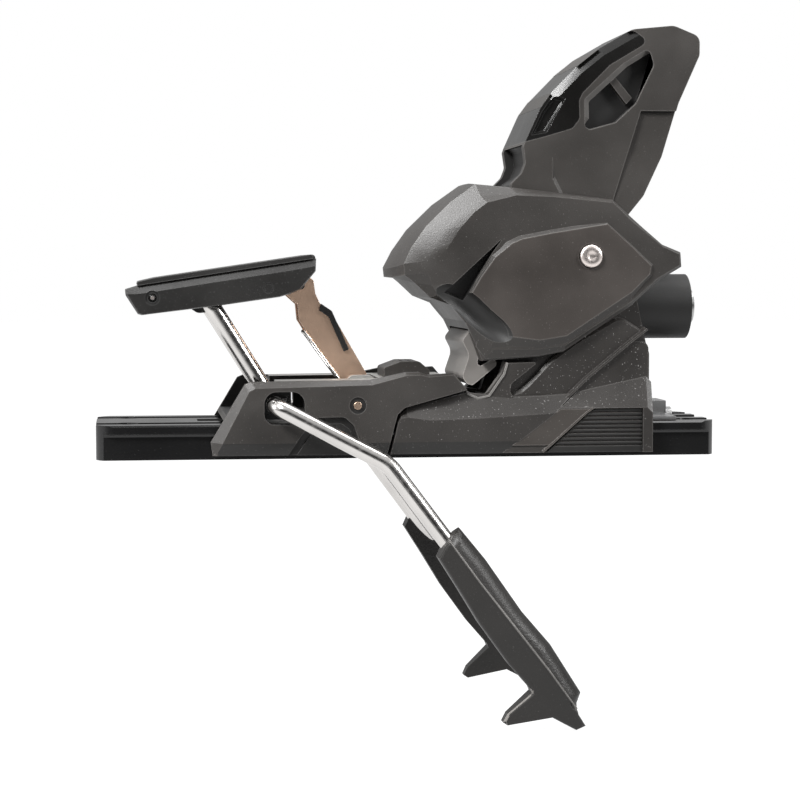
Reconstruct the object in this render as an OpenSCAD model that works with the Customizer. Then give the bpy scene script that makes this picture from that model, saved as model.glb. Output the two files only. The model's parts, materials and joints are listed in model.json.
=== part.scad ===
/* Heel unit of a hybrid ski touring binding, with its ski brake and its length-adjusting rail.
   Millimetres. +X points to the tail of the ski, +Y to the ski's other edge, +Z up.
   The origin is on the ski's centre plane, on the rail's mounting face. */

/* [Rail] */
// Overall length of the rail behind its front end
rail_len = 234; // [230:1:250]
// Width of the rail over its guide flanges
rail_w = 56; // [54:0.5:56]
// Height of the rail over the ski
rail_h = 13; // [12.8:0.1:13]
// Radius of the through holes for the ski screws
screw_hole_r = 2.8; // [2.5:0.1:3]
// Distance between the left and right ski screws
screw_y = 32; // [28:1:36]

/* [Housings] */
// Width over the brake housing and the heel base
body_w = 64; // [63:0.5:68]
// Wall thickness of the brake housing's cheeks
cheek_t = 5.6; // [5:0.2:5.8]

/* [Brake] */
// Radius of the brake wire
wire_r = 3.25; // [2.5:0.05:3.3]
// Width over the treadle pedal of the brake
pedal_w = 50; // [48:1:51]
// Distance from the centre plane to the wire inside the pedal
wire_y = 19; // [18.5:0.1:19]
// Distance from the centre plane to the brake foot
foot_y = 50; // [46:1:54]
// Thickness of a brake foot across the ski
foot_t = 12; // [8:1:14]

/* [Heel cup] */
// Height of the main axle above the ski
axle_z = 75.3; // [75:0.1:75.6]
// Radius of the main axle
axle_r = 3.5; // [3:0.1:4]
// Radius of the cam bar that the release piston presses on
cam_r = 4; // [3.5:0.1:4]
// Wire radius of the release spring
spring_wire_r = 1.3; // [1:0.1:1.5]

/* [Lever] */
// Width of the step-out lever
lever_w = 48; // [40:1:49]

/* [Hidden] */

fit = 0.05;
cut = 0.01;
rail_x0 = -100;
rail_x1 = rail_x0 + rail_len;
flange_z = 9.5;
groove_w = 12;
groove_z = 7;
half_w = body_w / 2;
cheek_in = half_w - cheek_t;
skirt_in = rail_w / 2 + 0.3;
plate_z = rail_h + 0.1;
deck_z = 14.7;
floor_z = deck_z + 1.7;
pedal_half = pedal_w / 2;
brake_x = -34;
brake_z = 20;
bar_x = -58.3;
bar_z = 59;
link_x = -1;
link_z = 27;
top_pin_x = -25.6;
top_pin_z = 65.3;
top_pin_r = 2;
link_half = 7.6;
axle_x = 84;
cam_x = 78.8;
cam_z = 56;
barrel_z = 56;
barrel_out = 12.5;
barrel_in = 9.9;
tower_in = 14;
tower_out = 24.5;
wall_in = 25;
lever_x = 92;
lever_z = 92;
worm_z = 13.2;
worm_pitch = 2.5;
worm_r = 3.9;
worm_ridge = 0.5;
worm_start = 101;
worm_turns = 6;
rack_start = -60;
rack_teeth = 71;
trim_t = 2;

// A corner at b between a and c, rounded with radius r
function corner(a, b, c, r, steps = 6) =
    r == 0 ? [b] :
    let (u = (a - b) / norm(a - b), v = (c - b) / norm(c - b), half = acos(u * v) / 2,
        centre = b + (u + v) / norm(u + v) * r / sin(half),
        p = b + u * r / tan(half) - centre, q = b + v * r / tan(half) - centre,
        start = atan2(p[1], p[0]), raw = atan2(q[1], q[0]) - start,
        turn = raw > 180 ? raw - 360 : raw < -180 ? raw + 360 : raw)
    [for (i = [0:steps]) centre + r * [cos(start + turn * i / steps), sin(start + turn * i / steps)]];

// A closed outline from rows of x, z and corner radius
function rounded(rows) = let (n = len(rows))
    [for (i = [0:n - 1]) let (a = rows[(i + n - 1) % n], b = rows[i], c = rows[(i + 1) % n])
        each corner([a[0], a[1]], [b[0], b[1]], [c[0], c[1]], b[2])];

// A side outline in X and Z, solid from y0 to y1
module side_prism(rows, y0, y1) {
    translate([0, y1, 0]) rotate([90, 0, 0]) linear_extrude(y1 - y0) polygon(rounded(rows));
}

// The same side outline on both sides of the centre plane
module both_sides(rows, y0, y1) {
    side_prism(rows, y0, y1);
    side_prism(rows, -y1, -y0);
}

// A cylinder along Y
module pin_y(x, z, r, y0, y1) {
    translate([x, y1, z]) rotate([90, 0, 0]) cylinder(r = r, h = y1 - y0, $fn = 64);
}

// A cylinder along X
module pin_x(x0, x1, y, z, r) {
    translate([x0, y, z]) rotate([0, 90, 0]) cylinder(r = r, h = x1 - x0, $fn = 64);
}

// A block between two corners
module block(low, high) {
    translate(low) cube(high - low);
}

// A straight piece of round wire between two points
module rod(a, b, r) {
    d = b - a;
    translate(a) rotate([0, acos(d[2] / norm(d)), atan2(d[1], d[0])]) cylinder(r = r, h = norm(d),
        $fn = 32);
}

// The bend of a wire at b between a and c, with bend radius r
function bend_at(a, b, c, r, steps = 8) =
    let (u = (a - b) / norm(a - b), v = (c - b) / norm(c - b), half = acos(u * v) / 2,
        centre = b + (u + v) / norm(u + v) * r / sin(half), e1 = (b + u * r / tan(half) - centre) / r,
        raw = (b + v * r / tan(half) - centre) / r,
            e2 = (raw - e1 * (raw * e1)) / norm(raw - e1 * (raw * e1)))
    [for (i = [0:steps]) let (t = (180 - 2 * half) * i / steps) centre + r * (cos(t) * e1 + sin(t) * e2)];

// The centre line of a bent wire through rows of points, with one bend radius for each inner corner
function bent(points, radii) = let (n = len(points))
    concat([points[0]],
        [for (i = [1:n - 2]) each bend_at(points[i - 1], points[i], points[i + 1], radii[i - 1])],
        [points[n - 1]]);

// A round section of the given radius swept along a row of points that never run parallel to Z
module sweep(points, r, sides = 8) {
    n = len(points);
    rings = [for (i = [0:n - 1])
        let (t = points[min(i + 1, n - 1)] - points[max(i - 1, 0)], u = cross(t, [0, 0,
            1]) / norm(cross(t, [0, 0, 1])),
            v = cross(u, t) / norm(cross(u, t)))
        for (j = [0:sides - 1]) points[i] + r * (cos(360 * j / sides) * u + sin(360 * j / sides) * v)];
    skin = [for (i = [0:n - 2]) for (j = [0:sides - 1])
        let (k = (j + 1) % sides, a = i * sides + k, b = i * sides + j, c = b + sides, d = a + sides)
            each [[a, b, c], [a, c, d]]];
    first = [for (j = [0:sides - 1]) j];
    last = [for (j = [0:sides - 1]) n * sides - 1 - j];
    polyhedron(rings, concat(skin, [first, last]));
}

// The centre line of a coil spring along Z: mean radius, wire radius, length and turns
function coil(r, wire_radius, length, turns, per_turn = 18) = [for (i = [0:turns * per_turn])
    [r * cos(360 * i / per_turn), r * sin(360 * i / per_turn),
        wire_radius + (length - 2 * wire_radius) * i / turns / per_turn]];

/* ---- rail ---- */

module mounting_rail() {
    color("#1b1b1d") difference() {
        intersection() {
            union() {
                block([rail_x0, -rail_w / 2 + 2, 0], [rail_x1, rail_w / 2 - 2, rail_h]);
                block([rail_x0, -rail_w / 2, flange_z], [rail_x1, rail_w / 2, rail_h]);
            }
            linear_extrude(rail_h) polygon(rounded([[rail_x0, -rail_w / 2, 9], [rail_x1, -rail_w / 2, 9],
                [rail_x1, rail_w / 2, 9], [rail_x0, rail_w / 2, 9]]));
        }
        block([rack_start - 2, -groove_w / 2, groove_z], [rail_x1 + 1, groove_w / 2, rail_h + 1]);
        for (x = [rail_x0 + 12, rail_x1 - 10])
            for (y = [-screw_y / 2, screw_y / 2]) {
                translate([x, y, -1]) cylinder(r = screw_hole_r, h = rail_h + 2, $fn = 48);
                translate([x, y, rail_h - 3]) cylinder(r1 = screw_hole_r, r2 = 5.2, h = 3 + cut, $fn = 48);
            }
    }
}

module rail_rack() {
    tip_z = worm_z - worm_r + worm_ridge - 0.25;
    root_z = worm_z - worm_r - worm_ridge - 0.25;
    teeth = [for (i = [0:rack_teeth - 1]) let (x = rack_start + 2 + i * worm_pitch)
        each [[x - 0.85, root_z], [x - 0.25, tip_z], [x + 0.25, tip_z], [x + 0.85, root_z]]];
    end_x = rack_start + 2 + rack_teeth * worm_pitch;
    color("#9a9c9e") translate([0, 2.4, 0]) rotate([90, 0, 0]) linear_extrude(4.8)
        polygon(concat([[rack_start, groove_z], [rack_start, root_z]], teeth, [[end_x, root_z],
            [end_x, groove_z]]));
}

/* ---- carriage ---- */

module slide_plate() {
    color("#85878a") {
        difference() {
            block([-50, -24, plate_z], [119, 24, plate_z + 1.5]);
            block([97, -8.1, plate_z - 1], [120, 8.1, plate_z + 3]);
            for (y = [-18, 18]) translate([-28, y, plate_z - 1]) cylinder(r = 2, h = 4, $fn = 32);
        }
        for (y = [-19.2, 19.2]) block([96, y - 3, plate_z + 1.5], [98, y + 3, 22.4]);
    }
}

// The lip that hooks under the rail's flange, on side s, from x0 to x1
module guide_lip(s, x0, x1) {
    block([x0, s > 0 ? rail_w / 2 - 1.8 : -skirt_in - cut, 4.5],
        [x1, s > 0 ? skirt_in + cut : -rail_w / 2 + 1.8, flange_z - 0.1]);
}

module housing_outline() {
    intersection() {
        side_prism([[-57.3, 1.7, 1], [-58, 6.7, 2], [-45.3, 28.7, 2], [-44, 29.5, 0], [1.3, 30.1, 0],
            [15.3, 32.1, 0],
            [19.7, 32.1, 0], [23, 31.1, 0], [32.5, 31.7, 1], [37.6, 25.3, 1], [12.3, 18.7, 4],
            [10, 15.3, 2],
            [7.3, 1.7, 0.5]], -half_w, half_w);
        rotate([90, 0, 90]) translate([0, 0, -70]) linear_extrude(120) polygon([[-half_w + 1, 0],
            [half_w - 1, 0],
            [half_w, 4], [half_w, 27], [half_w - 2.7, 30], [half_w - 4, 34], [-half_w + 4, 34],
            [-half_w + 2.7, 30],
            [-half_w, 27], [-half_w, 4]]);
    }
}

module brake_housing() {
    color("#3c3a38") difference() {
        housing_outline();
        block([-60, -skirt_in, -1], [40, skirt_in, plate_z + 1.6]);
        block([-60, -cheek_in, floor_z], [40, cheek_in, 40]);
        side_prism([[-30, 0, 0], [-24.7, 8.4, 1], [-19.3, 13.6, 1], [-9, 13.8, 1], [-5.8, 11, 1],
            [-1, 0, 0]],
            -half_w - 1, -half_w + 1.2);
        side_prism([[-30, 0, 0], [-24.7, 8.4, 1], [-19.3, 13.6, 1], [-9, 13.8, 1], [-5.8, 11, 1],
            [-1, 0, 0]],
            half_w - 1.2, half_w + 1);
        side_prism([[-38.3, 14.2, 3.5], [-26, 14.2, 3.5], [-26, 25, 3.5],
            [-38.3, 25, 3.5]], -half_w - 1, half_w + 1);
        both_sides([[-38.3, 14.2, 3.5], [-23.5, 14.2, 3.5], [-23.5, 26.8, 2], [-38.3, 26.8, 3.5]],
            half_w - 4.5, half_w + 1);
        pin_y(-3.7, 20, 1.5, -half_w - 1, half_w + 1);
        for (s = [-1, 1]) pin_y(-3.7, 20, 3, s * half_w - 0.5, s * half_w + 0.5);
    }
    color("#3c3a38") for (s = [-1, 1])
        guide_lip(s, -55, 6);
}

module brake_cover() {
    color("#b9b7b2") {
        difference() {
            block([-33.5, -cheek_in, 27.2], [33, cheek_in, 29.4]);
            block([-36, -14.6, 26], [5, 14.6, 31]);
            pin_y(link_x, link_z, 2.5, -30, 30);
        }
        for (s = [-1, 1]) difference() {
            side_prism([[-6, floor_z, 0], [4, floor_z, 0], [4, 31, 2],
                [-6, 31, 2]], s > 0 ? 14.8 : -19, s > 0 ? 19 : -14.8);
            pin_y(link_x, link_z, 2.5, -30, 30);
            pin_y(-3.7, 20, 1.5, -30, 30);
        }
    }
}

module housing_pins() {
    color("#b08d72") for (s = [-1, 1])
        pin_y(-3.7, 20, 1.5, s > 0 ? 14.8 : -half_w - 0.2, s > 0 ? half_w + 0.2 : -14.8);
}

module link_pin() {
    color("#a9abad") pin_y(link_x, link_z, 2.5, -19, 19);
}

module brake_lock() {
    color("#55534f") difference() {
        side_prism([[8.5, 29.5, 0], [8.5, 33, 1], [15, 35.4, 2], [22, 35.4, 2], [26, 32, 1],
            [26, 29.5, 0]], -11, 11);
        for (x = [13:3:22]) block([x - 0.5, -9, 34.6], [x + 0.5, 9, 37]);
    }
}

module brake_bushes() {
    color("#2c2c2c") for (s = [-1, 1]) difference() {
        block([-40, s > 0 ? 23.6 : -26.2, floor_z + fit], [-28, s > 0 ? 26.2 : -23.6, 25]);
        pin_y(brake_x, brake_z, wire_r + fit, -30, 30);
    }
}

module worm_bracket() {
    color("#85878a") difference() {
        union() {
            block([97, -8, plate_z], [119, 8, 19.6]);
            for (x = [97, 116.6]) block([x, -5.8, 9.9], [x + 2.4, 5.8, plate_z + cut]);
            block([90, -8, plate_z + 1.5], [98, 8, plate_z + 3.2]);
        }
        pin_x(99.4, 116.6, 0, worm_z, 4.8);
        block([99.4, -4.8, 9], [116.6, 4.8, worm_z]);
        pin_x(90, 125, 0, worm_z, 2.5 + fit);
    }
}

module adjust_screw() {
    sides = 24;
    per_turn = 10;
    steps = worm_turns * per_turn;
    points = [for (i = [0:steps]) for (j = [0:sides - 1])
        let (a = 360 * j / sides, r = worm_r + worm_ridge * cos(a + 180 - 360 * i / per_turn))
            [i * worm_pitch / per_turn, r * sin(a), r * cos(a)]];
    skin = [for (i = [0:steps - 1]) for (j = [0:sides - 1])
        let (k = (j + 1) % sides, a = i * sides + j, b = i * sides + k, c = b + sides, d = a + sides)
            each [[a, b, c], [a, c, d]]];
    first = [for (j = [0:sides - 1]) sides - 1 - j];
    last = [for (j = [0:sides - 1]) steps * sides + j];
    color("#c2c4c6") {
        difference() {
            pin_x(97.2, 122.6, 0, worm_z, 2.5);
            for (a = [0, 90]) translate([120.4, 0, worm_z]) rotate([a, 0, 0]) block([0, -3, -0.6],
                [4, 3, 0.6]);
        }
        difference() {
            pin_x(119.2, 122.6, 0, worm_z, 3.5);
            for (a = [0, 90]) translate([120.4, 0, worm_z]) rotate([a, 0, 0]) block([0, -3, -0.6],
                [4, 3, 0.6]);
        }
        translate([worm_start - 0.25, 0, worm_z]) polyhedron(points, concat(skin, [first, last]));
    }
}

module pressure_springs() {
    color("#a9abad") for (y = [-19.2, 19.2])
        translate([72.2, y, 19]) rotate([0, 90, 0]) sweep(coil(2.6, 0.6, 23.6, 7, 14), 0.6, 6);
}

/* ---- brake ---- */

module brake_wire(s) {
    stub = [bar_x, s * 8, bar_z];
    top = [bar_x, s * wire_y, bar_z];
    knee = [brake_x, s * wire_y, brake_z];
    out = [brake_x, s * 36, brake_z];
    bend = [6.4, s * 43, -0.9];
    tip = [44, s * foot_y, -51.5];
    color("#d4d6d8") sweep(bent([stub, top, knee, out, bend, tip], [4.5, 4.5, 4.5, 14]), wire_r, 20);
}

module brake_wire_left() { brake_wire(1); }
module brake_wire_right() { brake_wire(-1); }

module brake_foot(s) {
    outline = [[31.6, -23.9, 2], [41.5, -35.8, 0], [55, -55.2, 0], [65.7, -67.6, 0], [77.1, -85.6, 0],
        [75.5, -89.2, 0],
        [75.5, -93.1, 0], [78.4, -97.8, 0.5], [74.9, -99.2, 0.5], [66, -94.3, 1], [49.6, -97.3, 0.5],
        [48.2, -96.4, 0],
        [49.6, -93, 0], [58.2, -84.9, 0], [57.6, -83.5, 0], [49.6, -74.1, 0], [38.7, -59, 0],
        [30.8, -46, 0],
        [23.8, -35.3, 2], [25.4, -31, 0], [27.5, -27.8, 0]];
    y0 = s * foot_y - foot_t / 2;
    color("#2b2927") difference() {
        side_prism(outline, y0, y0 + foot_t);
        rod([6.4, s * 43, -0.9], [44, s * foot_y, -51.5], wire_r);
    }
}

module brake_foot_left() { brake_foot(1); }
module brake_foot_right() { brake_foot(-1); }

/* ---- pedal ---- */

module pedal_body() {
    color("#2f2e2d") difference() {
        union() {
            difference() {
                side_prism([[-89, 62.2, 1], [-89, 60.9, 1], [-84.3, 53.5, 1.5], [-79.9, 53.5, 1],
                    [-53, 56.9, 0],
                    [-31.2, 59.9, 1], [-24.4, 62.9, 1], [-18.4, 70.3, 1], [-18.7, 74.2, 0.5],
                    [-78.2, 65.2, 1]],
                    -pedal_half, pedal_half);
                side_prism([[-72, 50, 0], [-72, 61.5, 3], [-60, 64.3, 3], [-15, 71, 0], [-15, 50, 0]],
                    -wire_y - wire_r - 0.4, wire_y + wire_r + 0.4);
                block([-36, -link_half - 0.8, 50], [-15, link_half + 0.8, 80]);
            }
            both_sides([[bar_x - 6, 53.8, 3], [bar_x + 5.5, 54.8, 3], [bar_x + 5.5, 67, 0],
                [bar_x - 6, 65, 0]], 8.5, 14.2);
            both_sides([[-29, 62, 1.5], [-22, 63, 1.5], [-22, 71.5, 0], [-29, 70.5, 0]],
                link_half + 1.8, wire_y - wire_r - 0.4);
            pin_y(-18.2, 75, 1.3, -20, 20);
        }
        pin_y(bar_x, bar_z, wire_r + fit, -15.2, 15.2);
        pin_y(top_pin_x, top_pin_z, top_pin_r, -wire_y + wire_r + 0.4, wire_y - wire_r - 0.4);
        pin_y(-78.9, 59.9, 1.6, -pedal_half - 1, pedal_half + 1);
    }
}

module pedal_plate() {
    color("#8f9092") side_prism([[-78.2, 65.25, 0], [-78.2, 67.2, 1], [-19.5, 76.0, 0.8],
        [-19.5, 74.13, 0]],
        -pedal_half + 1, pedal_half - 1);
}

module pedal_pin() {
    color("#b98f6d") pin_y(-78.9, 59.9, 1.6, -pedal_half - 0.1, pedal_half + 0.1);
}

module link_top_pin() {
    color("#a9abad") pin_y(top_pin_x, top_pin_z, top_pin_r, -wire_y + wire_r + 0.4, wire_y - wire_r - 0.4);
}

/* ---- link ---- */

module support_link() {
    color("#9c7f66") difference() {
        side_prism([[-18, 66.2, 1], [-17.3, 61.2, 1], [-15.6, 57.5, 0], [-11.5, 54.5, 1], [2, 31, 2],
            [4, 26, 2], [-1, 22.4, 2], [-6, 25, 2], [-19.7, 45, 1], [-23.4, 51, 1], [-24, 57, 1],
            [-29.6, 62, 2], [-29.6, 68.5, 2], [-22, 69.4, 1]], -link_half, link_half);
        side_prism([[-19.3, 75, 0], [-19.3, 60.6, 1], [-17.4, 56.5, 0], [-13.2, 53.5, 0],
            [-3.1, 36, 0], [20, 36, 0], [20, 10, 0], [-60, 10, 0], [-60, 75, 0]],
            -link_half + 2.2, link_half - 2.2);
        pin_y(link_x, link_z, 2.5 + fit, -20, 20);
        pin_y(top_pin_x, top_pin_z, top_pin_r + 0.9, -20, 20);
    }
}

module link_tab() {
    color("#242424") both_sides([[-15.2, 57.4, 0], [-11.1, 54.6, 0], [-4.6, 39.9, 0.5], [-6.6, 39.2, 0],
        [-12.4, 52.4, 0], [-16, 54.8, 0]], link_half, link_half + 1.2);
}

module link_spring() {
    color("#b5b7b9") translate([link_x, link_half - 2.4, link_z]) rotate([90, 90, 0])
        sweep(concat(coil(3.7, 0.65, 2 * link_half - 4.8, 5.375, 16),
            [[-18.2, -13, link_half - 2.8]]), 0.65, 6);
}

/* ---- heel base ---- */

module base_flank(low_z) {
    rotate([90, 0, 90]) linear_extrude(200) polygon([[-half_w + 1, 0], [half_w - 1, 0], [half_w, 5],
        [half_w, low_z],
        [26.5, 36], [26.5, 40], [-26.5, 40], [-26.5, 36], [-half_w, low_z], [-half_w, 5]]);
}

module heel_base() {
    color("#403d3b") difference() {
        union() {
            intersection() {
                side_prism([[8.6, 1.7, 0.5], [11.2, 14.5, 2], [13.8, 18.1, 3], [36.9, 24.3, 1],
                    [41, 24.2, 2],
                    [46.5, 29, 2], [49.3, 34, 2], [53, 35.5, 1], [66, 34, 3], [80, 36, 4],
                    [98, 36, 4], [108, 22, 3],
                    [108, 1.7, 2]], -half_w, half_w);
                base_flank(18.5);
            }
            both_sides([[46, 16, 0], [50, 30, 2], [54, 39, 2], [66, 54, 4], [74.6, 77, 8],
                [79, 84.6, 6], [89, 84.6, 6],
                [94, 75, 6], [103, 60, 4], [107, 42, 4], [107, 16, 0]], tower_in, tower_out);
        }
        block([0, -skirt_in, -1], [120, skirt_in, deck_z]);
        block([40, -tower_in, deck_z - 1], [120, tower_in, 60]);
        block([0, -cheek_in - 0.4, deck_z - 1], [44, cheek_in + 0.4, 60]);
        block([96, -tower_in, deck_z - 1], [120, tower_in, 60]);
        for (y = [-19.2, 19.2]) {
            pin_x(72, 99, y, 19, 3.5);
            block([72, y - 3.5, deck_z - 1], [99, y + 3.5, 19]);
            block([90, y - 3.5, deck_z - 1], [99, y + 3.5, 23]);
        }
        block([27, -half_w - 1, 18.3], [41, -cheek_in, 26]);
        block([27, cheek_in, 18.3], [41, half_w + 1, 26]);
        pin_y(axle_x, axle_z, axle_r, -40, 40);
        pin_y(cam_x, cam_z, cam_r, -40, 40);
        trim_cut(1);
        trim_cut(-1);
    }
    color("#403d3b") {
        block([54, -tower_in - cut, deck_z], [83.8, tower_in + cut, deck_z + 3]);
        for (s = [-1, 1])
            guide_lip(s, 14, 106);
    }
}

function trim_rows() = [[50, 1.7, 0], [70.2, 16, 1], [73, 18.4, 0], [83, 18.4, 0], [65.8, 1.7, 0]];
function rib_rows() = [[67.6, 1.7, 0], [83.6, 17.2, 1], [84.9, 18.4, 0], [104, 18.4, 1], [104, 1.7, 0]];

module trim_cut(s) {
    y0 = s > 0 ? half_w - trim_t : -half_w - 1;
    side_prism(trim_rows(), y0, y0 + trim_t + 1);
    side_prism(rib_rows(), y0, y0 + trim_t + 1);
}

module side_trim(s) {
    y0 = s > 0 ? half_w - trim_t : -half_w;
    color("#46423f") side_prism(trim_rows(), y0, y0 + trim_t);
}

module side_trim_left() { side_trim(1); }
module side_trim_right() { side_trim(-1); }

module rib_panel(s) {
    y0 = s > 0 ? half_w - trim_t : -half_w + 0.6;
    color("#262524") difference() {
        side_prism(rib_rows(), y0, y0 + trim_t - 0.6);
        for (z = [3:2.2:18]) block([60, s > 0 ? half_w - 1 : -half_w, z],
            [110, s > 0 ? half_w : -half_w + 1, z + 0.9]);
    }
}

module rib_panel_left() { rib_panel(1); }
module rib_panel_right() { rib_panel(-1); }

module main_axle() {
    color("#c9b7ad") difference() {
        union() {
            pin_y(axle_x, axle_z, axle_r, -half_w - 1.4, half_w + 1.4);
            for (s = [-1, 1])
                pin_y(axle_x, axle_z, 4.4, s > 0 ? half_w + 0.2 : -half_w - 1.7,
                    s > 0 ? half_w + 1.7 : -half_w - 0.2);
        }
        for (s = [-1, 1])
            pin_y(axle_x, axle_z, 1.6, s > 0 ? half_w + 1 : -half_w - 2, s > 0 ? half_w + 2 : -half_w - 1);
    }
}

module cam_bar() {
    color("#a9abad") pin_y(cam_x, cam_z, cam_r, -tower_out, tower_out);
}

/* ---- heel cup ---- */

module cup_shell() {
    color("#413e3b") difference() {
        intersection() {
            side_prism([[10.5, 71, 1.5], [12.6, 67.2, 1], [18.5, 66, 1], [22.6, 59.9, 1],
                [31.5, 58.9, 1], [35.2, 55.1, 0],
                [38.3, 50.2, 1], [39.2, 45, 1], [40, 38.5, 2], [45, 36, 2], [72, 38.5, 4],
                [78, 43.3, 3], [99.3, 59.3, 4],
                [111.7, 66.3, 4], [120, 71, 2], [120, 77, 1], [111.7, 79.7, 3], [100, 90.3, 4],
                [93, 96.5, 3],
                [66.3, 99, 2], [54.3, 101.2, 2], [42.8, 102.9, 3], [31.4, 95.2, 3], [22.4, 86.2, 3],
                [14.1, 72.8, 2]],
                -half_w - 1, half_w + 1);
            linear_extrude(120) polygon(rounded([[11, 0, 0], [11, -10, 6], [16, -21, 6], [28, -half_w, 3],
                [124, -half_w, 3], [124, half_w, 3], [28, half_w, 3], [16, 21, 6], [11, 10, 6]]));
        }
        both_sides([[46, 34, 0], [46, 50, 4], [57, 62, 4], [66, 80, 4], [66, 86.4, 0], [52, 86.4, 0],
            [52, 110, 0],
            [130, 110, 0], [130, 34, 0]], tower_in - 0.6, wall_in);
        side_prism([[71, 34, 0], [71, 69, 2], [112, 69, 0], [112, 86.4, 0], [52, 86.4, 0], [52, 110, 0],
            [130, 110, 0], [130, 34, 0]], -tower_in + 0.5, tower_in - 0.5);
        side_prism([[30, 48, 0], [45.9, 48, 0], [45.9, 37.7, 0], [50.5, 37.7, 0], [50.5, 30, 0],
            [30, 30, 0]],
            -23.5, 23.5);
        pin_y(axle_x, axle_z, axle_r + fit, -40, 40);
        pin_y(lever_x, lever_z, 2.5, -30, 30);
        for (s = [-1, 1]) side_prism([[32, 61, 2], [48, 82, 3], [88, 90.5, 3], [104, 79, 3],
            [110, 71, 3], [98, 62, 3],
            [50, 43, 3], [40, 42, 2]], s > 0 ? half_w - 1 : -half_w - 1, s > 0 ? half_w + 1 : -half_w + 1);
    }
}

module cup_panel(s) {
    y0 = s > 0 ? half_w - 1 : -half_w;
    color("#4b4743") difference() {
        side_prism([[35, 60.5, 2], [49.5, 80, 3], [88, 88.6, 3], [102, 77.5, 3], [107, 71, 3], [97, 64, 3],
            [50, 45.5, 3], [41, 44, 2]], y0, y0 + 1);
        pin_y(axle_x, axle_z, axle_r + fit, -40, 40);
    }
}

module cup_panel_left() { cup_panel(1); }
module cup_panel_right() { cup_panel(-1); }

module treadle() {
    color("#57524e") {
        side_prism([[39.2, 47, 1], [36.5, 43.4, 0.8], [39.6, 37.8, 1], [36.4, 29, 1],
            [39.6, 26.6, 1.5], [50, 34.5, 1],
            [48.6, 37.6, 0.5], [40.5, 31.5, 1.5], [44, 40, 1], [44, 48, 0]], -23.5, 23.5);
        side_prism([[43, 38, 0], [45.9, 38, 0], [45.9, 48, 0], [43, 48, 0]], -23.5, 23.5);
    }
}

module spring_barrel() {
    color("#35322f") difference() {
        pin_x(73, 128, 0, barrel_z, barrel_out);
        pin_x(72, 124.5, 0, barrel_z, barrel_in);
        side_prism([[74.4, 50.9, 1], [95.2, 50.9, 1], [95.2, 60.6, 1], [74.4, 60.6, 1]], -20, 20);
        pin_x(120, 130, 0, barrel_z, 3 + fit);
        block([112, -1.5, barrel_z], [120, 1.5, 80]);
    }
}

module lever_axle() {
    color("#a9abad") pin_y(lever_x, lever_z, 2.5, -30, 30);
}

module release_piston() {
    color("#a9abad") difference() {
        pin_x(cam_x + cam_r + 0.1, 99, 0, barrel_z, barrel_in - fit);
        pin_x(88, 100, 0, barrel_z, 8.2);
    }
}

module release_spring() {
    color("#8a8c8e") translate([88.1, 0, barrel_z]) rotate([0, 90, 0])
        sweep(coil(6.4, spring_wire_r, 29.8, 7), spring_wire_r);
}

module spring_seat() {
    color("#a9abad") difference() {
        pin_x(118, 121, 0, barrel_z, barrel_in - fit);
        pin_x(117, 122, 0, barrel_z, 3 + fit);
    }
}

module release_screw() {
    color("#c2c4c6") difference() {
        union() {
            pin_x(111, 128.2, 0, barrel_z, 3);
            pin_x(128.1, 130.4, 0, barrel_z, 6.5);
            pin_x(121.4, 124.3, 0, barrel_z, 5);
        }
        block([129, -1, barrel_z - 5], [132, 1, barrel_z + 5]);
    }
}

/* ---- lever ---- */

module thumb_recess() {
    side_prism([[84.5, 131.5, 1], [87, 128.2, 1], [92, 128.6, 1], [101, 134, 3], [112, 146, 3],
        [106, 152, 3]],
        -40, 40);
}

module lever_shell() {
    half = lever_w / 2;
    color("#3e3b38") difference() {
        side_prism([[60, 88, 3], [54.8, 96, 3], [55.1, 102.4, 1], [59, 106.3, 2], [60.5, 110.2, 2],
            [59.5, 116.4, 1],
            [60.8, 119, 1], [71.8, 134.8, 6], [84.2, 144.8, 6], [91, 151.6, 6], [104, 160, 8],
            [118, 162, 6],
            [127, 158, 3], [127, 151, 3], [119, 133, 8], [113, 113, 6], [106, 98, 4],
            [97, 87, 4]], -half, half);
        side_prism([[66, 80, 0], [64, 104, 3], [72, 118, 3], [108, 118, 4], [101, 104, 3],
            [97, 99, 2], [84, 99, 2],
            [84, 80, 0]], -half + 4, half - 4);
        side_prism([[79, 132, 3], [108, 153, 4], [117, 153, 3], [108, 126, 4],
            [80, 124, 3]], -half + 4, half - 4);
        thumb_recess();
        pin_y(lever_x, lever_z, 2.5 + fit, -40, 40);
        insert_outline(-half + 3, half - 3);
    }
}

module insert_outline(y0, y1) {
    side_prism([[61, 119.2, 0], [72, 135, 0], [84, 145.2, 0], [91, 151.8, 0], [104, 161, 0],
        [108, 155.6, 0],
        [93, 147.5, 0], [84, 139, 0], [74, 130.5, 0], [64.5, 117, 0]], y0, y1);
}

module lever_insert() {
    half = lever_w / 2;
    color("#111112") insert_outline(-half + 3, half - 3);
}

mounting_rail();
rail_rack();
slide_plate();
brake_housing();
brake_cover();
housing_pins();
link_pin();
brake_lock();
brake_bushes();
worm_bracket();
adjust_screw();
pressure_springs();
brake_wire_left();
brake_wire_right();
brake_foot_left();
brake_foot_right();
pedal_body();
pedal_plate();
pedal_pin();
link_top_pin();
support_link();
link_tab();
link_spring();
heel_base();
side_trim_left();
side_trim_right();
rib_panel_left();
rib_panel_right();
main_axle();
cam_bar();
cup_shell();
cup_panel_left();
cup_panel_right();
treadle();
spring_barrel();
lever_axle();
release_piston();
release_spring();
spring_seat();
release_screw();
lever_shell();
lever_insert();
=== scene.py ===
"""Looks of the touring-binding heel unit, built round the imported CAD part. Script units are millimetres."""
import json
import math

import bmesh
import bpy
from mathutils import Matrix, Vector, geometry


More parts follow.
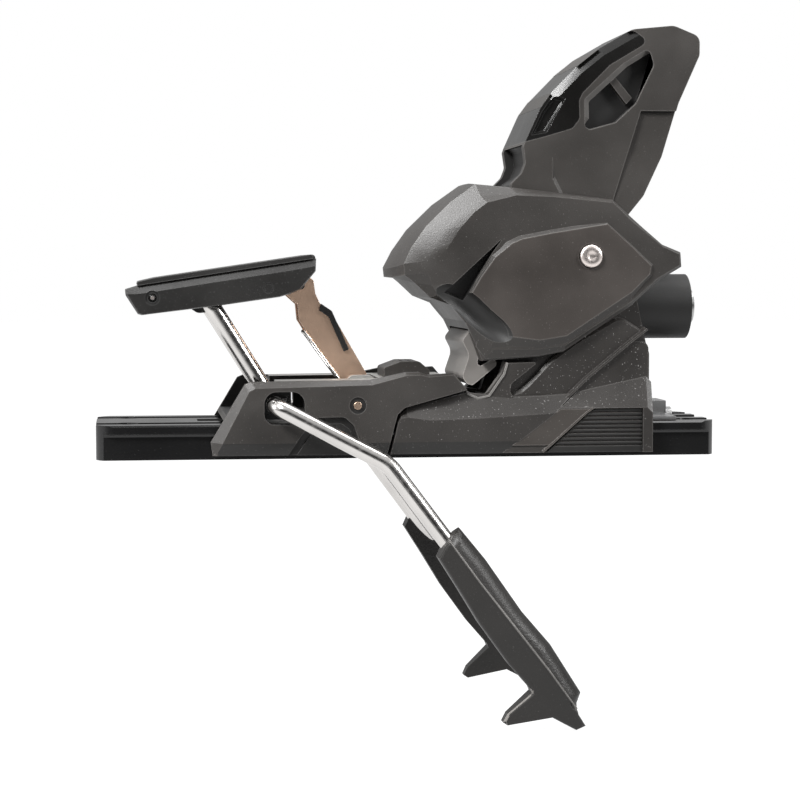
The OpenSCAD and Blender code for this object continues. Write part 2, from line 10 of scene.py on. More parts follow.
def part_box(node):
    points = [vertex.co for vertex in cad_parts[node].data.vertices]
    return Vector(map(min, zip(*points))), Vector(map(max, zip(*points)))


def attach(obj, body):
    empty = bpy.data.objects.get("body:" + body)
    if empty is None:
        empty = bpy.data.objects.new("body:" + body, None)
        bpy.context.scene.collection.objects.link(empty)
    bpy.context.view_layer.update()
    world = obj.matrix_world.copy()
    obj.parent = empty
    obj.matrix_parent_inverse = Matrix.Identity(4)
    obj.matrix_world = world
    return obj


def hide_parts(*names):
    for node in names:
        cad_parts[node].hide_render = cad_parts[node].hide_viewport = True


MM = 0.001
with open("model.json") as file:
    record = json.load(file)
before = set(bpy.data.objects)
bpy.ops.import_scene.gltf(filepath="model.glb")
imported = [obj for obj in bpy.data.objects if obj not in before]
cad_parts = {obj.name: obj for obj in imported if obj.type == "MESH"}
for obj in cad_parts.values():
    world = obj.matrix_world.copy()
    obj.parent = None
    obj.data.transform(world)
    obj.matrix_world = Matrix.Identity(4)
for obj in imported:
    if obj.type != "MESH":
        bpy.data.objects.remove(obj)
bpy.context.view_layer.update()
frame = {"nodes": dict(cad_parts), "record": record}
NODES = frame["nodes"]
BODIES = frame["record"]["behaviour"]["bodies"]

# Driving sizes of the CAD part. A pair is x and z. Half widths are distances from the ski's centre plane.
SIDES = (-1, 1)
NAMED_SIDES = ((1, "left"), (-1, "right"))
HALF = 32                   # outer faces of housing, base and cup
LEVER_HALF = 24
AXLE = (84, 75.3)           # main axle of the heel cup
LEVER_AXLE = (92, 92)
HOUSING_PIN = (-3.7, 20)
PEDAL_PIN = (-78.9, 59.9)
PEDAL_STUD = (-36.2, 63.4)  # blind boss on the pedal's flank
LINK_TOP = (-25.6, 65.3)    # pin between pedal and support link
WIRE = 3.2                  # radius of the brake wires
WIRE_TOP = (-58.3, 59)      # their inner ends, in the pedal
WIRE_PIVOT = (-34, 20)      # where they leave the housing
WIRE_BEND = (6.4, 43, -0.9)
WIRE_TIP = (44, 50, -51.5)


# ---- shader tools

def new_material(name):
    material = bpy.data.materials.new(name)
    material.use_nodes = True
    nodes, links = material.node_tree.nodes, material.node_tree.links
    return material, nodes, links, nodes["Principled BSDF"]


def noise(nodes, links, scale, detail=3.0, stretch=(1, 1, 1)):
    """Noise over object coordinates in millimetres, optionally stretched."""
    coordinates = nodes.new("ShaderNodeTexCoord")
    mapping = nodes.new("ShaderNodeMapping")
    mapping.inputs["Scale"].default_value = [s / MM for s in stretch]
    texture = nodes.new("ShaderNodeTexNoise")
    texture.inputs["Scale"].default_value = scale
    texture.inputs["Detail"].default_value = detail
    links.new(coordinates.outputs["Object"], mapping.inputs["Vector"])
    links.new(mapping.outputs["Vector"], texture.inputs["Vector"])
    return texture.outputs["Fac"]


def ramp(nodes, links, source, stops):
    """Colour ramp from (position, grey or colour) stops."""
    node = nodes.new("ShaderNodeValToRGB")
    elements = node.color_ramp.elements
    while len(elements) < len(stops):
        elements.new(0.5)
    for element, (position, value) in zip(elements, stops):
        element.position = position
        colour = (value, value, value) if isinstance(value, (int, float)) else value
        element.color = (*colour, 1)
    links.new(source, node.inputs["Fac"])
    return node.outputs["Color"]


def ranged(nodes, links, source, low, high, out_low, out_high, shape="LINEAR"):
    """Maps low to high onto out_low to out_high."""
    node = nodes.new("ShaderNodeMapRange")
    node.interpolation_type = shape
    for label, value in (("From Min", low), ("From Max", high), ("To Min", out_low), ("To Max", out_high)):
        node.inputs[label].default_value = value
    links.new(source, node.inputs["Value"])
    return node.outputs["Result"]


def maths(nodes, links, operation, a, b):
    """A maths node on two sockets, or on a socket and a number."""
    node = nodes.new("ShaderNodeMath")
    node.operation = operation
    for socket, value in zip(node.inputs, (a, b)):
        if isinstance(value, (int, float)):
            socket.default_value = value
        else:
            links.new(value, socket)
    return node.outputs[0]


def bump(nodes, links, shader, source, strength, distance):
    node = nodes.new("ShaderNodeBump")
    node.inputs["Strength"].default_value = strength
    node.inputs["Distance"].default_value = distance
    links.new(source, node.inputs["Height"])
    links.new(node.outputs["Normal"], shader.inputs["Normal"])


def mix(nodes, links, amount, a, b):
    node = nodes.new("ShaderNodeMix")
    node.data_type = "RGBA"
    links.new(amount, node.inputs["Factor"])
    for socket, value in ((node.inputs["A"], a), (node.inputs["B"], b)):
        if isinstance(value, tuple):
            socket.default_value = (*value, 1)
        else:
            links.new(value, socket)
    return node.outputs["Result"]


def painted_edge_highlight(nodes, links, amount, reach=0.6 * MM):
    """Mask for a painted highlight: how far the surface normal turns within reach, bright along corners, up
    to amount.
    """
    near = nodes.new("ShaderNodeBevel")
    near.samples = 6
    near.inputs["Radius"].default_value = reach
    here = nodes.new("ShaderNodeNewGeometry")
    dot = nodes.new("ShaderNodeVectorMath")
    dot.operation = "DOT_PRODUCT"
    links.new(near.outputs["Normal"], dot.inputs[0])
    links.new(here.outputs["Normal"], dot.inputs[1])
    return ranged(nodes, links, dot.outputs["Value"], 0.995, 0.9, 0.0, amount)


def shaded(colour, factor, lift=0.0):
    return tuple(min(1, c * factor + lift) for c in colour)


# ---- materials

def plastic(name, colour, rough, grain, fineness, specks=0.0, highlight=0.35, spread=0.25):
    """Moulded plastic: fine grain, slow tone change by spread, dust specks and a painted highlight along
    edges.
    """
    material, nodes, links, shader = new_material(name)
    slow = noise(nodes, links, 0.035, 4)
    body = ramp(nodes, links, slow, [(0.3, shaded(colour, 1 - spread)), (0.7, shaded(colour, 1 + spread))])
    dots = ramp(nodes, links, noise(nodes, links, 1.5, 1), [(0.69, 0.0), (0.75, 1.0)])
    dust = maths(nodes, links, "MULTIPLY", dots, specks)
    dusty = mix(nodes, links, dust, body, shaded(colour, 3, 0.16))
    # The base colour is lightened along edges and corners: a painted highlight.
    highlighted = mix(nodes, links, painted_edge_highlight(nodes, links, highlight), dusty, shaded(colour, 4, 0.1))
    links.new(highlighted, shader.inputs["Base Color"])
    polish = ramp(nodes, links, slow, [(0.25, rough - 0.06), (0.75, rough + 0.08)])
    links.new(polish, shader.inputs["Roughness"])
    bump(nodes, links, shader, noise(nodes, links, fineness, 2), grain, 0.1 * MM)
    return material


def metal(name, colour, rough, stretch, scale, scratch, spread=0.12):
    """Bare or plated metal with drawn or turned scratches along the axis that stretch leaves small."""
    material, nodes, links, shader = new_material(name)
    grain = noise(nodes, links, scale, 4, stretch)
    tone = [(0.3, shaded(colour, 1 - spread)), (0.7, shaded(colour, 1 + spread))]
    links.new(ramp(nodes, links, noise(nodes, links, 0.08, 4), tone), shader.inputs["Base Color"])
    polish = [(0.3, max(0.02, rough - 0.06)), (0.75, rough + 0.1)]
    links.new(ramp(nodes, links, grain, polish), shader.inputs["Roughness"])
    shader.inputs["Metallic"].default_value = 1
    bump(nodes, links, shader, grain, scratch, 0.05 * MM)
    return material


# colour, roughness, grain depth, grain fineness, share of dust specks, painted edge highlight, tone spread
PLASTICS = {
    "housing": ((0.026, 0.0235, 0.0215), 0.42, 0.55, 2.4, 0.35, 0.3),
    "base": ((0.021, 0.0188, 0.0172), 0.42, 0.6, 2.0, 0.8, 0.3),
    "lever": ((0.030, 0.0273, 0.025), 0.40, 0.3, 2.6, 0.1, 0.3),
    "bevel": ((0.11, 0.105, 0.1), 0.34, 0.3, 2.6, 0.1, 0.3),
    "panel": ((0.038, 0.0325, 0.029), 0.42, 0.35, 2.6, 0.2, 0.25),
    "treadle": ((0.17, 0.16, 0.15), 0.4, 0.4, 1.4, 0.0, 0.35, 0.3),
    "trim": ((0.037, 0.0325, 0.029), 0.38, 0.3, 2.6, 0.25),
    "dark": ((0.008, 0.0077, 0.0074), 0.5, 0.3, 2.0, 0.0, 0.15),
    "ribs": ((0.011, 0.0105, 0.010), 0.42, 0.25, 2.0, 0.0, 0.2),
    "pedal": ((0.012, 0.0115, 0.011), 0.36, 0.25, 2.4, 0.15, 0.16),
    "pedal_top": ((0.02, 0.0195, 0.019), 0.26, 0.15, 2.0, 0.1),
    "rail": ((0.005, 0.005, 0.0052), 0.12, 0.08, 1.2, 0.1, 0.12),
    "gloss": ((0.006, 0.0058, 0.0055), 0.2, 0.01, 1.2, 0.05, 0.2),
    "foot": ((0.0125, 0.0113, 0.0102), 0.44, 1.0, 1.3, 0.12, 0.3),
}
# colour, roughness, scratch stretch, scratch fineness, scratch depth, tone spread
METALS = {
    "cover": ((0.52, 0.51, 0.49), 0.42, (1, 6, 6), 0.8, 0.2),
    "chrome": ((0.72, 0.70, 0.68), 0.17, (1, 1, 1), 0.5, 0.0, 0.06),
    "steel": ((0.5, 0.5, 0.5), 0.32, (1, 8, 8), 1.0, 0.25),
    "spring": ((0.42, 0.42, 0.43), 0.3, (1, 1, 1), 1.5, 0.2),
    "link": ((0.82, 0.58, 0.43), 0.4, (7, 7, 0.8), 0.6, 0.3),
    "rivet": ((0.86, 0.78, 0.74), 0.3, (1, 1, 1), 1.3, 0.12, 0.05),
    "copper": ((0.68, 0.5, 0.38), 0.3, (1, 1, 1), 1.6, 0.2),
}
MAT = {name: plastic(name, *row) for name, row in PLASTICS.items()}
MAT.update({name: metal(name, *row) for name, row in METALS.items()})


# ---- outlines and paths

def turned(v, angle):
    """The 2-D vector v turned clockwise by angle."""
    c, s = math.cos(angle), math.sin(angle)
    return Vector((v.x * c + v.y * s, -v.x * s + v.y * c))


def corner(a, b, c, radius, steps):
    """Points that round the corner b between a and c, in two or three dimensions."""
    a, b, c = Vector(a), Vector(b), Vector(c)
    if radius == 0:
        return [b]
    u, v = (a - b).normalized(), (c - b).normalized()
    half = u.angle(v) / 2
    centre = b + (u + v).normalized() * radius / math.sin(half)
    first = b + u * radius / math.tan(half) - centre
    last = b + v * radius / math.tan(half) - centre
    points = []
    for i in range(steps + 1):
        if len(b) == 3:
            spoke = first.normalized().slerp(last.normalized(), i / steps) * first.length
        else:
            spoke = turned(first, first.angle_signed(last) * i / steps)
        points.append(centre + spoke)
    return points


def rounded(rows, steps=8):
    """Closed outline from rows of x, z and, where the corner is round, its radius."""
    points = []
    for before, row, after in zip(rows[-1:] + rows[:-1], rows, rows[1:] + rows[:1]):
        radius = row[2] if len(row) > 2 else 0
        points += corner(before[:2], row[:2], after[:2], radius, steps)
    return points


def shrunk(rows, share):
    """The x and z rows pulled towards their middle."""
    cx, cz = (sum(values) / len(rows) for values in zip(*rows))
    return [(x + (cx - x) * share, z + (cz - z) * share) for x, z in rows]


def bent(points, bends):
    """A centre line through points, each inner one rounded with its radius and steps."""
    path = [Vector(points[0])]
    for a, b, c, (radius, steps) in zip(points, points[1:], points[2:], bends):
        path += corner(a, b, c, radius, steps)
    return path + [Vector(points[-1])]


def smooth_path(points, per):
    """Catmull-Rom curve through points, per steps between two of them."""
    path = []
    last = len(points) - 1
    for i in range(last):
        p0, p1, p2, p3 = (points[max(0, min(last, i + k))] for k in (-1, 0, 1, 2))
        for k in range(per):
            t = k / per
            path.append(0.5 * ((2 * p1) + (p2 - p0) * t + (2 * p0 - 5 * p1 + 4 * p2 - p3) * t * t
                               + (3 * p1 - p0 - 3 * p2 + p3) * t ** 3))
    path.append(points[-1])
    return path


def direction(points, i):
    """The unit vector along a chain at its point i."""
    return (points[min(i + 1, len(points) - 1)] - points[max(i - 1, 0)]).normalized()


def on_side(point, s):
    """A point whose y is a distance from the centre plane, on side s."""
    x, y, z = point
    return Vector((x, s * y, z))


def to_line(x, z, chain):
    """Distance from a point to an open chain, and the share of the chain passed there."""
    best = (1e9, 0)
    for i, ((ax, az), (bx, bz)) in enumerate(zip(chain, chain[1:])):
        dx, dz = bx - ax, bz - az
        t = max(0, min(1, ((x - ax) * dx + (z - az) * dz) / (dx * dx + dz * dz)))
        d = math.hypot(x - ax - t * dx, z - az - t * dz)
        best = min(best, (d, (i + t) / (len(chain) - 1)))
    return best


# ---- solids

def finished(name, mesh, bm, material):
    """Writes a bmesh to the mesh, faces outwards, and puts it in the scene."""
    bmesh.ops.recalc_face_normals(bm, faces=bm.faces)
    bm.to_mesh(mesh)
    bm.free()
    mesh.materials.append(MAT[material])
    obj = bpy.data.objects.new(name, mesh)
    bpy.context.scene.collection.objects.link(obj)
    return obj


def make(name, verts, faces, material):
    """A mesh object from vertices in millimetres."""
    mesh = bpy.data.meshes.new(name)
    mesh.from_pydata([Vector(v) * MM for v in verts], [], faces)
    bm = bmesh.new()
    bm.from_mesh(mesh)
    bmesh.ops.remove_doubles(bm, verts=bm.verts, dist=0.001 * MM)
    return finished(name, mesh, bm, material)


def loft(name, sections, material):
    """A closed solid through sections, each a list of (x, y, z) with the same number of points."""
    n = len(sections[0])
    verts = [p for section in sections for p in section]
    faces = [tuple(range(n)), tuple(reversed(range(len(verts) - n, len(verts))))]
    for k in range(len(sections) - 1):
        for i in range(n):
            j = (i + 1) % n
            faces.append((k * n + i, k * n + j, (k + 1) * n + j, (k + 1) * n + i))
    return make(name, verts, faces, material)


def layered(name, layers, s, material, steps=8):
    """A loft across the ski, on side s, through (distance from the centre plane, outline rows)."""
    return loft(name, [[(p.x, s * y, p.y) for p in rounded(rows, steps)] for y, rows in layers], material)


def slab(name, rows, y0, y1, material="housing", steps=8):
    """A side outline, solid from y0 to y1."""
    return layered(name, ((y0, rows), (y1, rows)), 1, material, steps)


def side_slab(name, rows, inner, outer, s, material="housing"):
    """A side outline, solid between two distances from the centre plane, on side s."""
    return slab(name, rows, *sorted((s * inner, s * outer)), material)


def mirrored(name, layers, material):
    """A loft over the whole width from (half width, x and z points), widest first and 0 last."""
    near = [[(x, -w, z) for x, z in row] for w, row in layers]
    far = [[(x, w, z) for x, z in row] for w, row in layers if w > 0]
    return loft(name, near + far[::-1], material)


def box_solid(low, high, material="dark"):
    (x0, y0, z0), (x1, y1, z1) = low, high
    return loft("box", [[(x0, y, z0), (x1, y, z0), (x1, y, z1), (x0, y, z1)] for y in (y0, y1)], material)


def side_box(low, high, s, material="dark"):
    """A box on side s; its corners' y are distances from the centre plane."""
    near, far = sorted((s * low[1], s * high[1]))
    return box_solid((low[0], near, low[2]), (high[0], far, high[2]), material)


def hull(points, material):
    """The convex solid round some points."""
    bm = bmesh.new()
    for p in points:
        bm.verts.new(Vector(p) * MM)
    result = bmesh.ops.convex_hull(bm, input=bm.verts)
    loose = [v for v in result["geom_interior"] if isinstance(v, bmesh.types.BMVert)]
    bmesh.ops.delete(bm, geom=loose, context="VERTS")
    return finished("hull", bpy.data.meshes.new("hull"), bm, material)


def lathe(name, profile, centre, axis, material, sides):
    """Turns rows of (radius, distance along the axis) about the axis "X", "Y" or "Z" through centre."""
    rings = []
    for radius, along in profile:
        ring = []
        for i in range(sides):
            a = 2 * math.pi * i / sides
            u, v = radius * math.cos(a), radius * math.sin(a)
            point = {"X": (along, u, v), "Y": (u, along, v), "Z": (u, v, along)}[axis]
            ring.append(Vector(centre) + Vector(point))
        rings.append(ring)
    return loft(name, rings, material)


def bore(centre, radius, y0, y1, material="dark"):
    """A cylinder across the ski at centre, x and z."""
    return lathe("bore", [(radius, y0), (radius, y1)], (centre[0], 0, centre[1]), "Y", material, 40)


def side_bore(centre, radius, inner, outer, s):
    return bore(centre, radius, *sorted((s * inner, s * outer)))


def pin(name, end, centre, material, sides=40):
    """A pin across the ski. One end is rows of (radius, distance from the centre plane), outermost first."""
    profile = [(r, -y) for r, y in end] + [(r, y) for r, y in reversed(end)]
    return lathe(name, profile, (centre[0], 0, centre[1]), "Y", material, sides)


def tube(name, path, radius, material, sides=24, ends=True):
    """A round wire along a path, its two ends chamfered if ends is set."""
    path = [Vector(p) for p in path]
    radii = [radius] * len(path)
    if ends:
        first, last = direction(path, 0), direction(path, len(path) - 1)
        chamfer = radius * 0.25
        path = [path[0], path[0] + first * chamfer] + path[1:-1] + [path[-1] - last * chamfer, path[-1]]
        radii = [radius - chamfer] + [radius] * (len(path) - 2) + [radius - chamfer]
    side = direction(path, 0).orthogonal().normalized()
    rings = []
    for i, (point, r) in enumerate(zip(path, radii)):
        tangent = direction(path, i)
        side = (side - tangent * side.dot(tangent)).normalized()
        other = tangent.cross(side)
        angles = (2 * math.pi * k / sides for k in range(sides))
        rings.append([point + r * (side * math.cos(a) + other * math.sin(a)) for a in angles])
    return loft(name, rings, material)


def strip(chain, width, inner, outer, s, material):
    """A raised strip beside a chain of (x, z) points, tapered towards its outer face."""
    points = [Vector(p) for p in chain]
    sections = []
    for w, y in ((width, inner), (width * 0.55, outer)):
        off = []
        for i, p in enumerate(points):
            along = direction(points, i)
            off.append(p + Vector((-along.y, along.x)) * w)
        sections.append([(p.x, s * y, p.y) for p in points + off[::-1]])
    return loft("strip", sections, material)


def relief(name, outline, height, back, s, material, spacing):
    """A solid with a sculpted outer face: height(x, z, edge distance) from the centre plane, on side s."""
    rim = []
    for a, b in zip(outline, outline[1:] + outline[:1]):
        count = max(1, round((b - a).length / spacing))
        rim += [a.lerp(b, k / count) for k in range(count)]
    closed = [tuple(p) for p in rim] + [tuple(rim[0])]
    low, high = (Vector([pick(values) for values in zip(*rim)]) for pick in (min, max))
    insets = (0.35, 0.8, 1.4)
    points = list(rim)
    for inset in insets:
        for i, p in enumerate(rim):
            along = (rim[(i + 1) % len(rim)] - rim[i - 1]).normalized()
            q = p + Vector((-along.y, along.x)) * inset
            if abs(to_line(q.x, q.y, closed)[0] - inset) < 0.05:
                points.append(q)
    row = 0
    z = low.y + spacing / 2
    while z < high.y:
        x = low.x + spacing * (0.5 if row % 2 else 1.0)
        while x < high.x:
            if to_line(x, z, closed)[0] > insets[-1] + spacing * 0.5:
                points.append(Vector((x, z)))
            x += spacing
        z += spacing * 0.87
        row += 1
    rim_edges = [(i, (i + 1) % len(rim)) for i in range(len(rim))]
    flat, _, triangles, _, _, _ = geometry.delaunay_2d_cdt(points, rim_edges, [], 1, 1e-5)
    verts = [(p.x, s * height(p.x, p.y, to_line(p.x, p.y, closed)[0]), p.y) for p in flat]
    count = len(verts)
    verts += [(p.x, s * back, p.y) for p in flat[:len(rim)]]
    faces = [tuple(f) for f in triangles]
    faces += [(i, j, count + j, count + i) for i, j in rim_edges]
    faces.append(tuple(count + i for i in range(len(rim))))
    return make(name, verts, faces, material)


# ---- changes to solids

def combine(obj, others, operation):
    """Boolean of obj with each of the others, which are used up. New faces keep the other's material."""
    for other in others:
        modifier = obj.modifiers.new("boolean", "BOOLEAN")
        modifier.operation = operation
        modifier.solver = "EXACT"
        modifier.material_mode = "TRANSFER"
        modifier.object = other
        bpy.context.view_layer.update()
        evaluated = obj.evaluated_get(bpy.context.evaluated_depsgraph_get())
        spent = [obj.data, other.data]
        result = bpy.data.meshes.new_from_object(evaluated)
        obj.modifiers.clear()
        obj.data = result
        bpy.data.objects.remove(other)
        for mesh in spent:
            bpy.data.meshes.remove(mesh)
    return obj


def cut(obj, *others):
    return combine(obj, others, "DIFFERENCE")


def add(obj, *others):
    return combine(obj, others, "UNION")


def soften(obj, width, angle=28, segments=3):
    """Rounds the edges sharper than angle, and smooths the shading."""
    bm = bmesh.new()
    bm.from_mesh(obj.data)
    bmesh.ops.remove_doubles(bm, verts=bm.verts, dist=0.002 * MM)
    bmesh.ops.dissolve_limit(bm, angle_limit=math.radians(0.6), verts=bm.verts, edges=bm.edges)
    bm.to_mesh(obj.data)
    bm.free()
    obj.data.shade_smooth()
    if width:
        obj.data.set_sharp_from_angle(angle=math.radians(13))
        modifier = obj.modifiers.new("edges", "BEVEL")
        modifier.width = width * MM
        modifier.segments = segments
        modifier.limit_method = "ANGLE"
        modifier.angle_limit = math.radians(angle)
        modifier.harden_normals = True
        modifier.use_clamp_overlap = True
    weighted = obj.modifiers.new("shading", "WEIGHTED_NORMAL")
    weighted.keep_sharp = True
    weighted.weight = 80
    return obj


def paint(obj, material, test):
    """Gives the faces whose middle, in millimetres, passes the test another material."""
    obj.data.materials.append(MAT[material])
    for face in obj.data.polygons:
        if test(face.center / MM):
            face.material_index = len(obj.data.materials) - 1
    return obj


def place(obj, body, node):
    """Lets obj ride on a body in place of a CAD node."""
    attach(obj, body)
    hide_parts(node)
    return obj


def from_cad(node, material, width):
    """A piece with the CAD node's own shape, softened edges and a material."""
    mesh = NODES[node].data.copy()
    mesh.materials.clear()
    mesh.materials.append(MAT[material])
    obj = bpy.data.objects.new(node + "_piece", mesh)
    bpy.context.scene.collection.objects.link(obj)
    body = next(name for name, members in BODIES.items() if node in members)
    return place(soften(obj, width), body, node)


# ---- rail

RAIL_FRONT, RAIL_REAR = -100, 134
RAIL_PROFILE = [(26, 0), (26, 8.6), (26.6, 9.4), (28, 9.7), (28, 12.4), (27.4, 13)]


def build_rail():
    """Glossy extrusion with a flange, a rebate under it, rounded ends, a groove, flutes and screw holes."""
    ring = RAIL_PROFILE + [(-y, z) for y, z in reversed(RAIL_PROFILE)]
    sections = [[(x, y, z) for y, z in ring] for x in (RAIL_FRONT, RAIL_REAR)]
    body = loft("mounting_rail_piece", sections, "rail")
    plan = rounded([(x, y, 9) for x, y in ((RAIL_FRONT, -28.5), (RAIL_REAR, -28.5), (RAIL_REAR, 28.5),
                                           (RAIL_FRONT, 28.5))], 10)
    mask = loft("mask", [[(p.x, p.y, z) for p in plan] for z in (-1, 14)], "rail")
    combine(body, [mask], "INTERSECT")
    cut(body, box_solid((-62, -6, 7), (135, 6, 14)))
    countersunk = [(2.8, -1), (2.8, 10), (5.2, 13.01), (5.2, 14)]
    for x in (-88, 124):
        for y in (-16, 16):
            cut(body, lathe("hole", countersunk, (x, y, 0), "Z", "rail", 40))
    for s in SIDES:
        cut(body, side_box((-101, 12.5, 12.4), (135, 20.5, 14), s, "rail"))
    place(soften(body, 0.45, 25), "rail", "mounting_rail")


def keel_cut(front, rear, s):
    """Takes the lower outer edge off a skirt from front to rear."""
    profile = ((32.5, 6.2), (32, 6.2), (30.6, -0.5), (33, -0.5))
    # The cut faces take the darker pedal plastic: painted shade along the lower edge.
    return hull([(x, s * y, z) for x in (front, rear) for y, z in profile], "pedal")


def rail_way(front, rear):
    """The room for the rail under a skirt."""
    return box_solid((front, -28.3, -1), (rear, 28.3, 14.7))


def rail_lip(front, rear, s):
    """The lip that reaches under the rail's flange."""
    return side_box((front, 26.2, 4.5), (rear, 28.31, 9.4), s)


# ---- brake housing

HOUSING_FULL = [(-57.3, 1.7), (-58, 6.7), (-45.3, 27.9), (-43.2, 28.8), (1.3, 29.3), (14.6, 32.1),
                (19.7, 32.1), (22.8, 31.1), (32.5, 31.7), (37.7, 25.4), (13.8, 19.0), (11.2, 16.6),
                (10.2, 13.0), (7.3, 1.7)]
HOUSING_SIDE = [(-54.6, 1.7), (-53.8, 6.2), (-43.9, 25.3), (-41.6, 26.6), (1.6, 27.6), (14.4, 31.0),
                (19.7, 31.2), (22.9, 30.5), (32.2, 31.2), (37.2, 25.5), (13.8, 19.0), (11.2, 16.6),
                (10.2, 13.0), (7.3, 1.7)]
ARCH = [(-30.6, 0), (-25.2, 8.2, 1.5), (-19.6, 15.6, 2.5), (-8.6, 15.8, 3), (-5.2, 12.6, 3), (-0.6, 0)]
ARCH_INNER = [(-27.4, 0), (-22.6, 7.4, 1), (-17.6, 13.2, 2), (-9.6, 13.4, 2.5), (-6.6, 11, 2), (-2.8, 0)]
SLOT = [(-38.3, 13.2, 4), (-23.4, 12.8, 4), (-23.4, 25.2, 4.5), (-38.3, 25.2, 4.5)]


def build_housing():
    """Cheeks with a bevelled top edge, a wire slot, a pin and an arch recess."""
    body = mirrored("brake_housing_piece", ((HALF, HOUSING_SIDE), (31.9, HOUSING_SIDE), (29.7, HOUSING_FULL),
                                            (0, HOUSING_FULL)), "housing")
    for s in SIDES:
        cut(body, keel_cut(-60, 12, s))
    cut(body, rail_way(-60, 40), box_solid((-60, -26.4, 16.4), (40, 26.4, 40)))
    for s in SIDES:
        cut(body, side_slab("arch", ARCH, 30.6, 34, s, "pedal"), side_slab("slot", SLOT, 25, 34, s, "gloss"),
            side_bore(HOUSING_PIN, 3.1, 31.4, 34, s), side_bore(HOUSING_PIN, 1.6, 25, 34, s))
        inner = side_slab("arch_inner", ARCH_INNER, 29.5, 31.4, s, "pedal")
        cut(inner, box_solid((-40, -40, -1), (10, 40, 1.7)))
        add(body, inner, rail_lip(-55, 6, s))
    place(soften(body, 0.4, 24), "carriage", "brake_housing")


def build_cover():
    """Light plate on the housing: a window for link and wires, ears for the link's pin, two rib gaps."""
    rows = [(-33.5, 27.2), (-33.5, 29.0), (33, 29.6), (33, 27.2)]
    plate = slab("brake_cover_piece", rows, -26.3, 26.3, "cover")
    cut(plate, slab("window", [(-40, 20), (6, 20, 3), (6, 40, 3), (-40, 40)], -14.6, 14.6))
    for s in SIDES:
        ear = [(-6, 16.6, 0.5), (4, 16.6, 0.5), (4, 30.6, 2), (-6, 30.6, 2)]
        add(plate, side_slab("ear", ear, 14.8, 19, s, "cover"))
    for s in SIDES:
        cut(plate, side_box((8, 19.1, 29.0), (29, 22.1, 31), s, "cover"))
    place(soften(plate, 0.35), "carriage", "brake_cover")


# ---- brake wires and feet

def build_wires():
    """Chrome rods from the pedal through the housing to the feet."""
    (top_x, top_z), (pivot_x, pivot_z) = WIRE_TOP, WIRE_PIVOT
    for s, side in NAMED_SIDES:
        points = [on_side(p, s) for p in ((top_x, 8, top_z), (top_x, 19, top_z), (pivot_x, 19, pivot_z),
                                          (pivot_x, 36, pivot_z), WIRE_BEND, WIRE_TIP)]
        path = bent(points, ((4.5, 8), (4.5, 8), (4.6, 12), (15, 14)))
        wire = tube("brake_wire_%s_piece" % side, path, WIRE, "chrome", 72)
        place(soften(wire, 0), "brake", "brake_wire_" + side)


FOOT = [(23.6, -34.6), (30.8, -46.0), (38.7, -59.0), (49.6, -74.1), (57.6, -83.3), (58.3, -85.0),
        (49.6, -93.0), (48.0, -96.2), (49.8, -97.4), (66.0, -94.3), (74.9, -99.1), (78.4, -97.6),
        (75.5, -93.1), (75.5, -89.2), (77.1, -85.6), (65.7, -67.6), (55.0, -55.2), (41.5, -35.8),
        (31.9, -24.1), (29.6, -25.6), (25.6, -30.4)]
FLUKE = [(57.9, -84.4), (49.6, -93.0), (48.0, -96.2), (49.8, -97.4)]
RIDGE = [(27.4, -28.2), (38.4, -43.2), (52.0, -60.5), (64.0, -76.0), (74.6, -90.6)]
RIDGE_TOP, RIDGE_FALL = 55.6, 0.4    # the ridge's distance from the centre plane, and its fall to the tip


def foot_height(x, z, edge):
    """The foot's outer face: two flanks that lean away from the ridge, with a rounded right rim."""
    from_ridge, along = to_line(x, z, RIDGE)
    right = (x - RIDGE[0][0]) * 0.83 + (z - RIDGE[0][1]) * 0.62 > 0
    lean, radius = (0.3, 5.0) if right else (0.2, 1.0)
    top = RIDGE_TOP - lean * from_ridge - RIDGE_FALL * along
    if edge < radius:
        top -= radius - math.sqrt(max(0, radius ** 2 - (radius - edge) ** 2))
    return top


def build_feet():
    """Blade with a worn ridge from the wire to the outer corner and two flukes, one with a worn edge."""
    outline = [Vector(p) for p in FOOT]
    spacing = 1.0
    fall = RIDGE_FALL / (len(RIDGE) - 1)
    for s, side in NAMED_SIDES:
        foot = relief("brake_foot_%s_piece" % side, outline, foot_height, 45.2, s, "foot", spacing)
        crest = [(x, s * (RIDGE_TOP - 0.05 - fall * i), z) for i, (x, z) in enumerate(RIDGE)]
        add(foot, tube("crest", crest, 0.3, "bevel", 12))
        cut(foot, tube("wire", [on_side(WIRE_BEND, s), on_side(WIRE_TIP, s)], WIRE + 0.02, "foot", 32, False))
        soften(foot, 0.35, 50)
        paint(foot, "treadle", lambda c: abs(c.y) > 50 and to_line(c.x, c.z, FLUKE)[0] < 0.75)
        place(foot, "brake", "brake_foot_" + side)


# ---- pedal

PEDAL_SIDE = [(-88.2, 61.3), (-87.6, 60.4), (-84.0, 54.3), (-82.6, 53.7), (-54, 57.3), (-32, 60.4),
              (-27.4, 61.9), (-24.6, 63.1), (-18.9, 69.8), (-18.7, 71.6), (-30, 69.6), (-72, 63.1),
              (-83, 61.5)]
PEDAL_FULL = [(-88.9, 62.7), (-88.7, 60.8), (-84.3, 53.9), (-82.8, 53.5), (-54, 57.0), (-32, 60.1),
              (-27.2, 61.5), (-24.2, 62.8), (-18.5, 69.7), (-18.3, 74.4), (-30, 72.4), (-72, 66.1),
              (-84, 64.2)]


